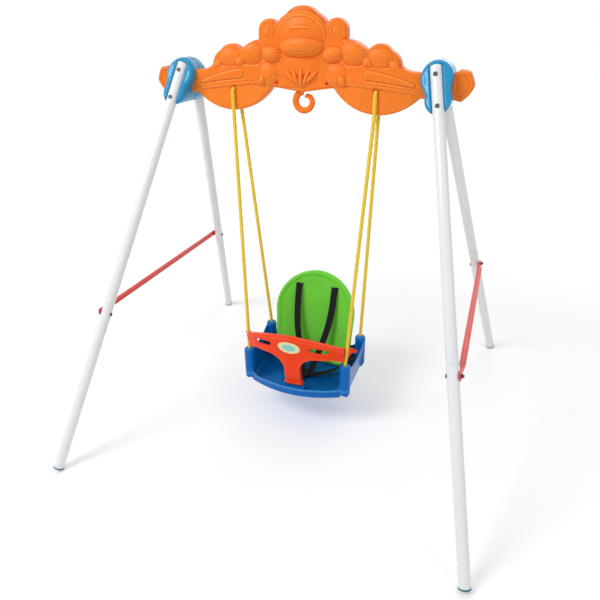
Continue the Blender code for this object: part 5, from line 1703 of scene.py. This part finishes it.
def make_harness():
    tape = webbing_finish()
    thread = Finish("seam_thread", (0.045, 0.042, 0.055), 0.7).material
    half_x, half_y = BUCKLE_SIZE[0] / 2 + CLEARANCE, BUCKLE_SIZE[1] / 2
    rear, front = BUCKLE_Y + half_y + CLEARANCE, BUCKLE_Y - half_y - CLEARANCE
    tree = stitch_tree()
    values = {"Stitch": sizes().stitch, "Gap": STITCH_GAP, "Finish": thread}
    seams = []
    wall_z = BUCKLE_MIDDLE + LAP_END[1]
    wall_x = pan_inside(wall_z)
    for side, name in SIDES:
        known = [
            back_point(side * STRAP_SLOT_X * share, STRAP_SLOT_Z - drop, BACK_STEP + behind)
            for share, drop, behind in SHOULDER_ROUTE
        ]
        known.append(Vector((side * 0.020, rear + 0.022, BUCKLE_MIDDLE + 0.006)))
        known.append(Vector((side * 0.0135, rear, BUCKLE_MIDDLE)))
        mesh = webbing(known, ALONG_X, STRAP_WIDTH * SHOULDER_WIDTH)
        piece(f"shoulder_tape_{name}", mesh, "swing", tape, [f"shoulder_strap_{name}"], 50)
        for share in (-0.8, 0.8):
            line = curve_of("seam", seam_line(known, ALONG_X, share * SHOULDER_WIDTH))
            seams.append(grown("seam", line, tree, values))
        known = [Vector((side * half_x, BUCKLE_Y, BUCKLE_MIDDLE))]
        known += [Vector((side * u, BUCKLE_Y + v, BUCKLE_MIDDLE + w)) for u, v, w in LAP_ROUTE]
        known.append(Vector((side * (wall_x - TAPE_LIFT), BUCKLE_Y + LAP_END[0], wall_z)))
        mesh = webbing(known, ALONG_Y)
        piece(f"lap_tape_{name}", mesh, "swing", tape, [f"lap_strap_{name}"], 50)
    lying = FLOOR_TOP + TAPE_LIFT
    heights = (BUCKLE_MIDDLE, BUCKLE_MIDDLE + 0.002, lying + 0.001, lying)
    known = [Vector((0, front - ahead, z)) for ahead, z in zip((0, 0.020, 0.040, 0.055), heights)]
    piece("crotch_tape", webbing(known, ALONG_X), "swing", tape, ["crotch_strap"], 50)
    piece("harness_stitches", joined("harness_stitches", seams), "swing", thread, (), 60)
    finish = plastic("buckle_plastic", (0.013, 0.013, 0.016), 0.38, coat=0.1, grain=900.0, variation=0.2)
    piece("harness_buckle", buckle_mesh(), "swing", finish, ["buckle"], 35)


# Stage

CAMERA_PLACE = (0.571, -1.598, 1.294)
CAMERA_YAW = radians(20.36)
CAMERA_PITCH = radians(27.08)
CAMERA_ROLL = radians(-0.83)
FOCAL_PIXELS = 547.45
PHOTO_WIDTH = 600
SENSOR_WIDTH = 36
WORLD_LIGHT = 0.56
FLOOR_REACH = 9.0
FLOOR_DROP = -0.0005


def make_camera():
    level = cos(CAMERA_PITCH)
    ahead = Vector((-sin(CAMERA_YAW) * level, cos(CAMERA_YAW) * level, -sin(CAMERA_PITCH)))
    right = Vector((cos(CAMERA_YAW), sin(CAMERA_YAW), 0))
    up = right.cross(ahead)
    across = right * cos(CAMERA_ROLL) + up * sin(CAMERA_ROLL)
    upward = up * cos(CAMERA_ROLL) - right * sin(CAMERA_ROLL)
    data = bpy.data.cameras.new("Camera")
    data.sensor_width = SENSOR_WIDTH
    data.lens = SENSOR_WIDTH * FOCAL_PIXELS / PHOTO_WIDTH
    data.clip_start = 0.02
    camera = linked("Camera", data)
    turn = Matrix((across, upward, -ahead)).transposed().to_4x4()
    camera.matrix_world = Matrix.Translation(CAMERA_PLACE) @ turn
    bpy.context.scene.camera = camera


def make_lamp(name, place, aim, size, power):
    data = bpy.data.lights.new(name, "AREA")
    data.shape = "DISK"
    data.size = size
    data.energy = power
    lamp = linked(name, data)
    lamp.location = place
    lamp.rotation_euler = (Vector(aim) - Vector(place)).to_track_quat("-Z", "Y").to_euler()


def white_to_camera(tree):
    """1 for rays that show the background directly, in gloss or through glass."""
    rays = node(tree, "ShaderNodeLightPath").outputs
    seen = rays["Is Camera Ray"]
    for ray in ("Is Glossy Ray", "Is Transmission Ray"):
        seen = maths(tree, "MAXIMUM", seen, rays[ray])
    return seen


def make_world():
    world = bpy.data.worlds.get("Studio") or bpy.data.worlds.new("Studio")
    bpy.context.scene.world = world
    world.use_nodes = True
    tree = world.node_tree
    tree.nodes.clear()
    lit, shown = (
        node(tree, "ShaderNodeBackground", {"Color": (1, 1, 1, 1), "Strength": strength}).outputs[0]
        for strength in (WORLD_LIGHT, 1.0)
    )
    mix = node(tree, "ShaderNodeMixShader", {0: white_to_camera(tree), 1: lit, 2: shown})
    node(tree, "ShaderNodeOutputWorld", {"Surface": mix.outputs[0]})


def make_floor():
    """A floor that fades to the white of the background away from the swing."""
    plan = ((-1, -1), (1, -1), (1, 1), (-1, 1))
    corners = [(FLOOR_REACH * x, FLOOR_REACH * y, FLOOR_DROP) for x, y in plan]
    floor = linked("floor", mesh_of("floor", corners, [(0, 1, 2, 3)]))
    finish = Finish("studio_floor", (0.90, 0.90, 0.905), 0.95, Specular_IOR_Level=0.05)
    away = finish.add("ShaderNodeVectorMath", {0: finish.place}, operation="LENGTH").outputs["Value"]
    lift = finish.times(finish.ranged(away, 0.8, 5.0, 0.20, 0.55), white_to_camera(finish.tree))
    glow = finish.add("ShaderNodeEmission", {"Strength": lift})
    both = finish.add("ShaderNodeAddShader", {0: finish.shader.outputs[0], 1: glow.outputs[0]})
    finish.tree.links.new(both.outputs[0], finish.out.inputs["Surface"])
    floor.data.materials.append(finish.material)


def make_stage():
    make_camera()
    make_world()
    make_floor()
    make_lamp("key", (-1.9, -2.4, 3.4), (0, 0, 0.7), 1.8, 74)
    make_lamp("fill", (2.8, -1.6, 2.2), (0, 0, 0.6), 2.6, 13)
    make_lamp("back", (0.6, 2.8, 2.6), (0, 0, 0.8), 2.4, 16)
    bpy.context.scene.view_settings.view_transform = "Standard"


# Operators


class SWING_OT_stage(bpy.types.Operator):
    """Sets the floor, the lamps and the camera"""

    bl_idname = "swing.stage"
    bl_label = "Stage"
    bl_options = {"REGISTER", "UNDO"}

    def execute(self, context):
        make_stage()
        return {"FINISHED"}


class SWING_OT_beam(bpy.types.Operator):
    """Makes the moulded crossbeam with its tail and plugs"""

    bl_idname = "swing.beam"
    bl_label = "Beam"
    bl_options = {"REGISTER", "UNDO"}

    def execute(self, context):
        make_beam()
        make_plugs()
        return {"FINISHED"}


class SWING_OT_brackets(bpy.types.Operator):
    """Makes the four bracket shells"""

    bl_idname = "swing.brackets"
    bl_label = "Brackets"
    bl_options = {"REGISTER", "UNDO"}

    def execute(self, context):
        make_brackets()
        return {"FINISHED"}


class SWING_OT_legs(bpy.types.Operator):
    """Makes the tubes and their foot caps"""

    bl_idname = "swing.legs"
    bl_label = "Legs"
    bl_options = {"REGISTER", "UNDO"}

    def execute(self, context):
        make_legs()
        return {"FINISHED"}


class SWING_OT_braces(bpy.types.Operator):
    """Makes the two cross braces"""

    bl_idname = "swing.braces"
    bl_label = "Braces"
    bl_options = {"REGISTER", "UNDO"}

    def execute(self, context):
        make_braces()
        return {"FINISHED"}


class SWING_OT_fasteners(bpy.types.Operator):
    """Sets the bolts and nuts"""

    bl_idname = "swing.fasteners"
    bl_label = "Fasteners"
    bl_options = {"REGISTER", "UNDO"}

    def execute(self, context):
        make_fasteners()
        return {"FINISHED"}


class SWING_OT_ropes(bpy.types.Operator):
    """Braids the two ropes"""

    bl_idname = "swing.ropes"
    bl_label = "Ropes"
    bl_options = {"REGISTER", "UNDO"}

    def execute(self, context):
        make_ropes()
        return {"FINISHED"}


class SWING_OT_seat_pan(bpy.types.Operator):
    """Makes the bucket seat's pan"""

    bl_idname = "swing.seat_pan"
    bl_label = "Seat pan"
    bl_options = {"REGISTER", "UNDO"}

    def execute(self, context):
        make_seat_pan()
        return {"FINISHED"}


class SWING_OT_backrest(bpy.types.Operator):
    """Makes the arched backrest"""

    bl_idname = "swing.backrest"
    bl_label = "Backrest"
    bl_options = {"REGISTER", "UNDO"}

    def execute(self, context):
        make_backrest()
        return {"FINISHED"}


class SWING_OT_guard(bpy.types.Operator):
    """Makes the sliding guard and its plain label"""

    bl_idname = "swing.guard"
    bl_label = "Front guard"
    bl_options = {"REGISTER", "UNDO"}

    def execute(self, context):
        make_guard()
        return {"FINISHED"}


class SWING_OT_harness(bpy.types.Operator):
    """Makes the webbing, its stitches and the buckle"""

    bl_idname = "swing.harness"
    bl_label = "Harness"
    bl_options = {"REGISTER", "UNDO"}

    def execute(self, context):
        make_harness()
        return {"FINISHED"}


OPERATORS = (
    SWING_OT_stage, SWING_OT_beam, SWING_OT_brackets, SWING_OT_legs, SWING_OT_braces, SWING_OT_fasteners,
    SWING_OT_ropes, SWING_OT_seat_pan, SWING_OT_backrest, SWING_OT_guard, SWING_OT_harness,
)


class SWING_PT_panel(bpy.types.Panel):
    """The swing's makers, in the 3D view's sidebar."""

    bl_idname = "SWING_PT_panel"
    bl_label = "Child Swing"
    bl_space_type = "VIEW_3D"
    bl_region_type = "UI"
    bl_category = "Child Swing"

    def draw(self, context):
        for made in OPERATORS:
            self.layout.operator(made.bl_idname, text=made.bl_label)
        for group in (sizes(), colours()):
            for name in group.bl_rna.properties.keys():
                if name not in ("rna_type", "name"):
                    self.layout.prop(group, name)


CLASSES = (SwingColours, SwingSizes, *OPERATORS, SWING_PT_panel)


def register():
    for made in CLASSES:
        bpy.utils.register_class(made)
    bpy.types.Scene.child_swing_sizes = PointerProperty(type=SwingSizes)
    bpy.types.Scene.child_swing_colours = PointerProperty(type=SwingColours)


def unregister():
    del bpy.types.Scene.child_swing_sizes
    del bpy.types.Scene.child_swing_colours
    for made in reversed(CLASSES):
        bpy.utils.unregister_class(made)


def main():
    register()
    for made in OPERATORS:
        kind, name = made.bl_idname.split(".")
        getattr(getattr(bpy.ops, kind), name)()


if __name__ == "__main__":
    main()
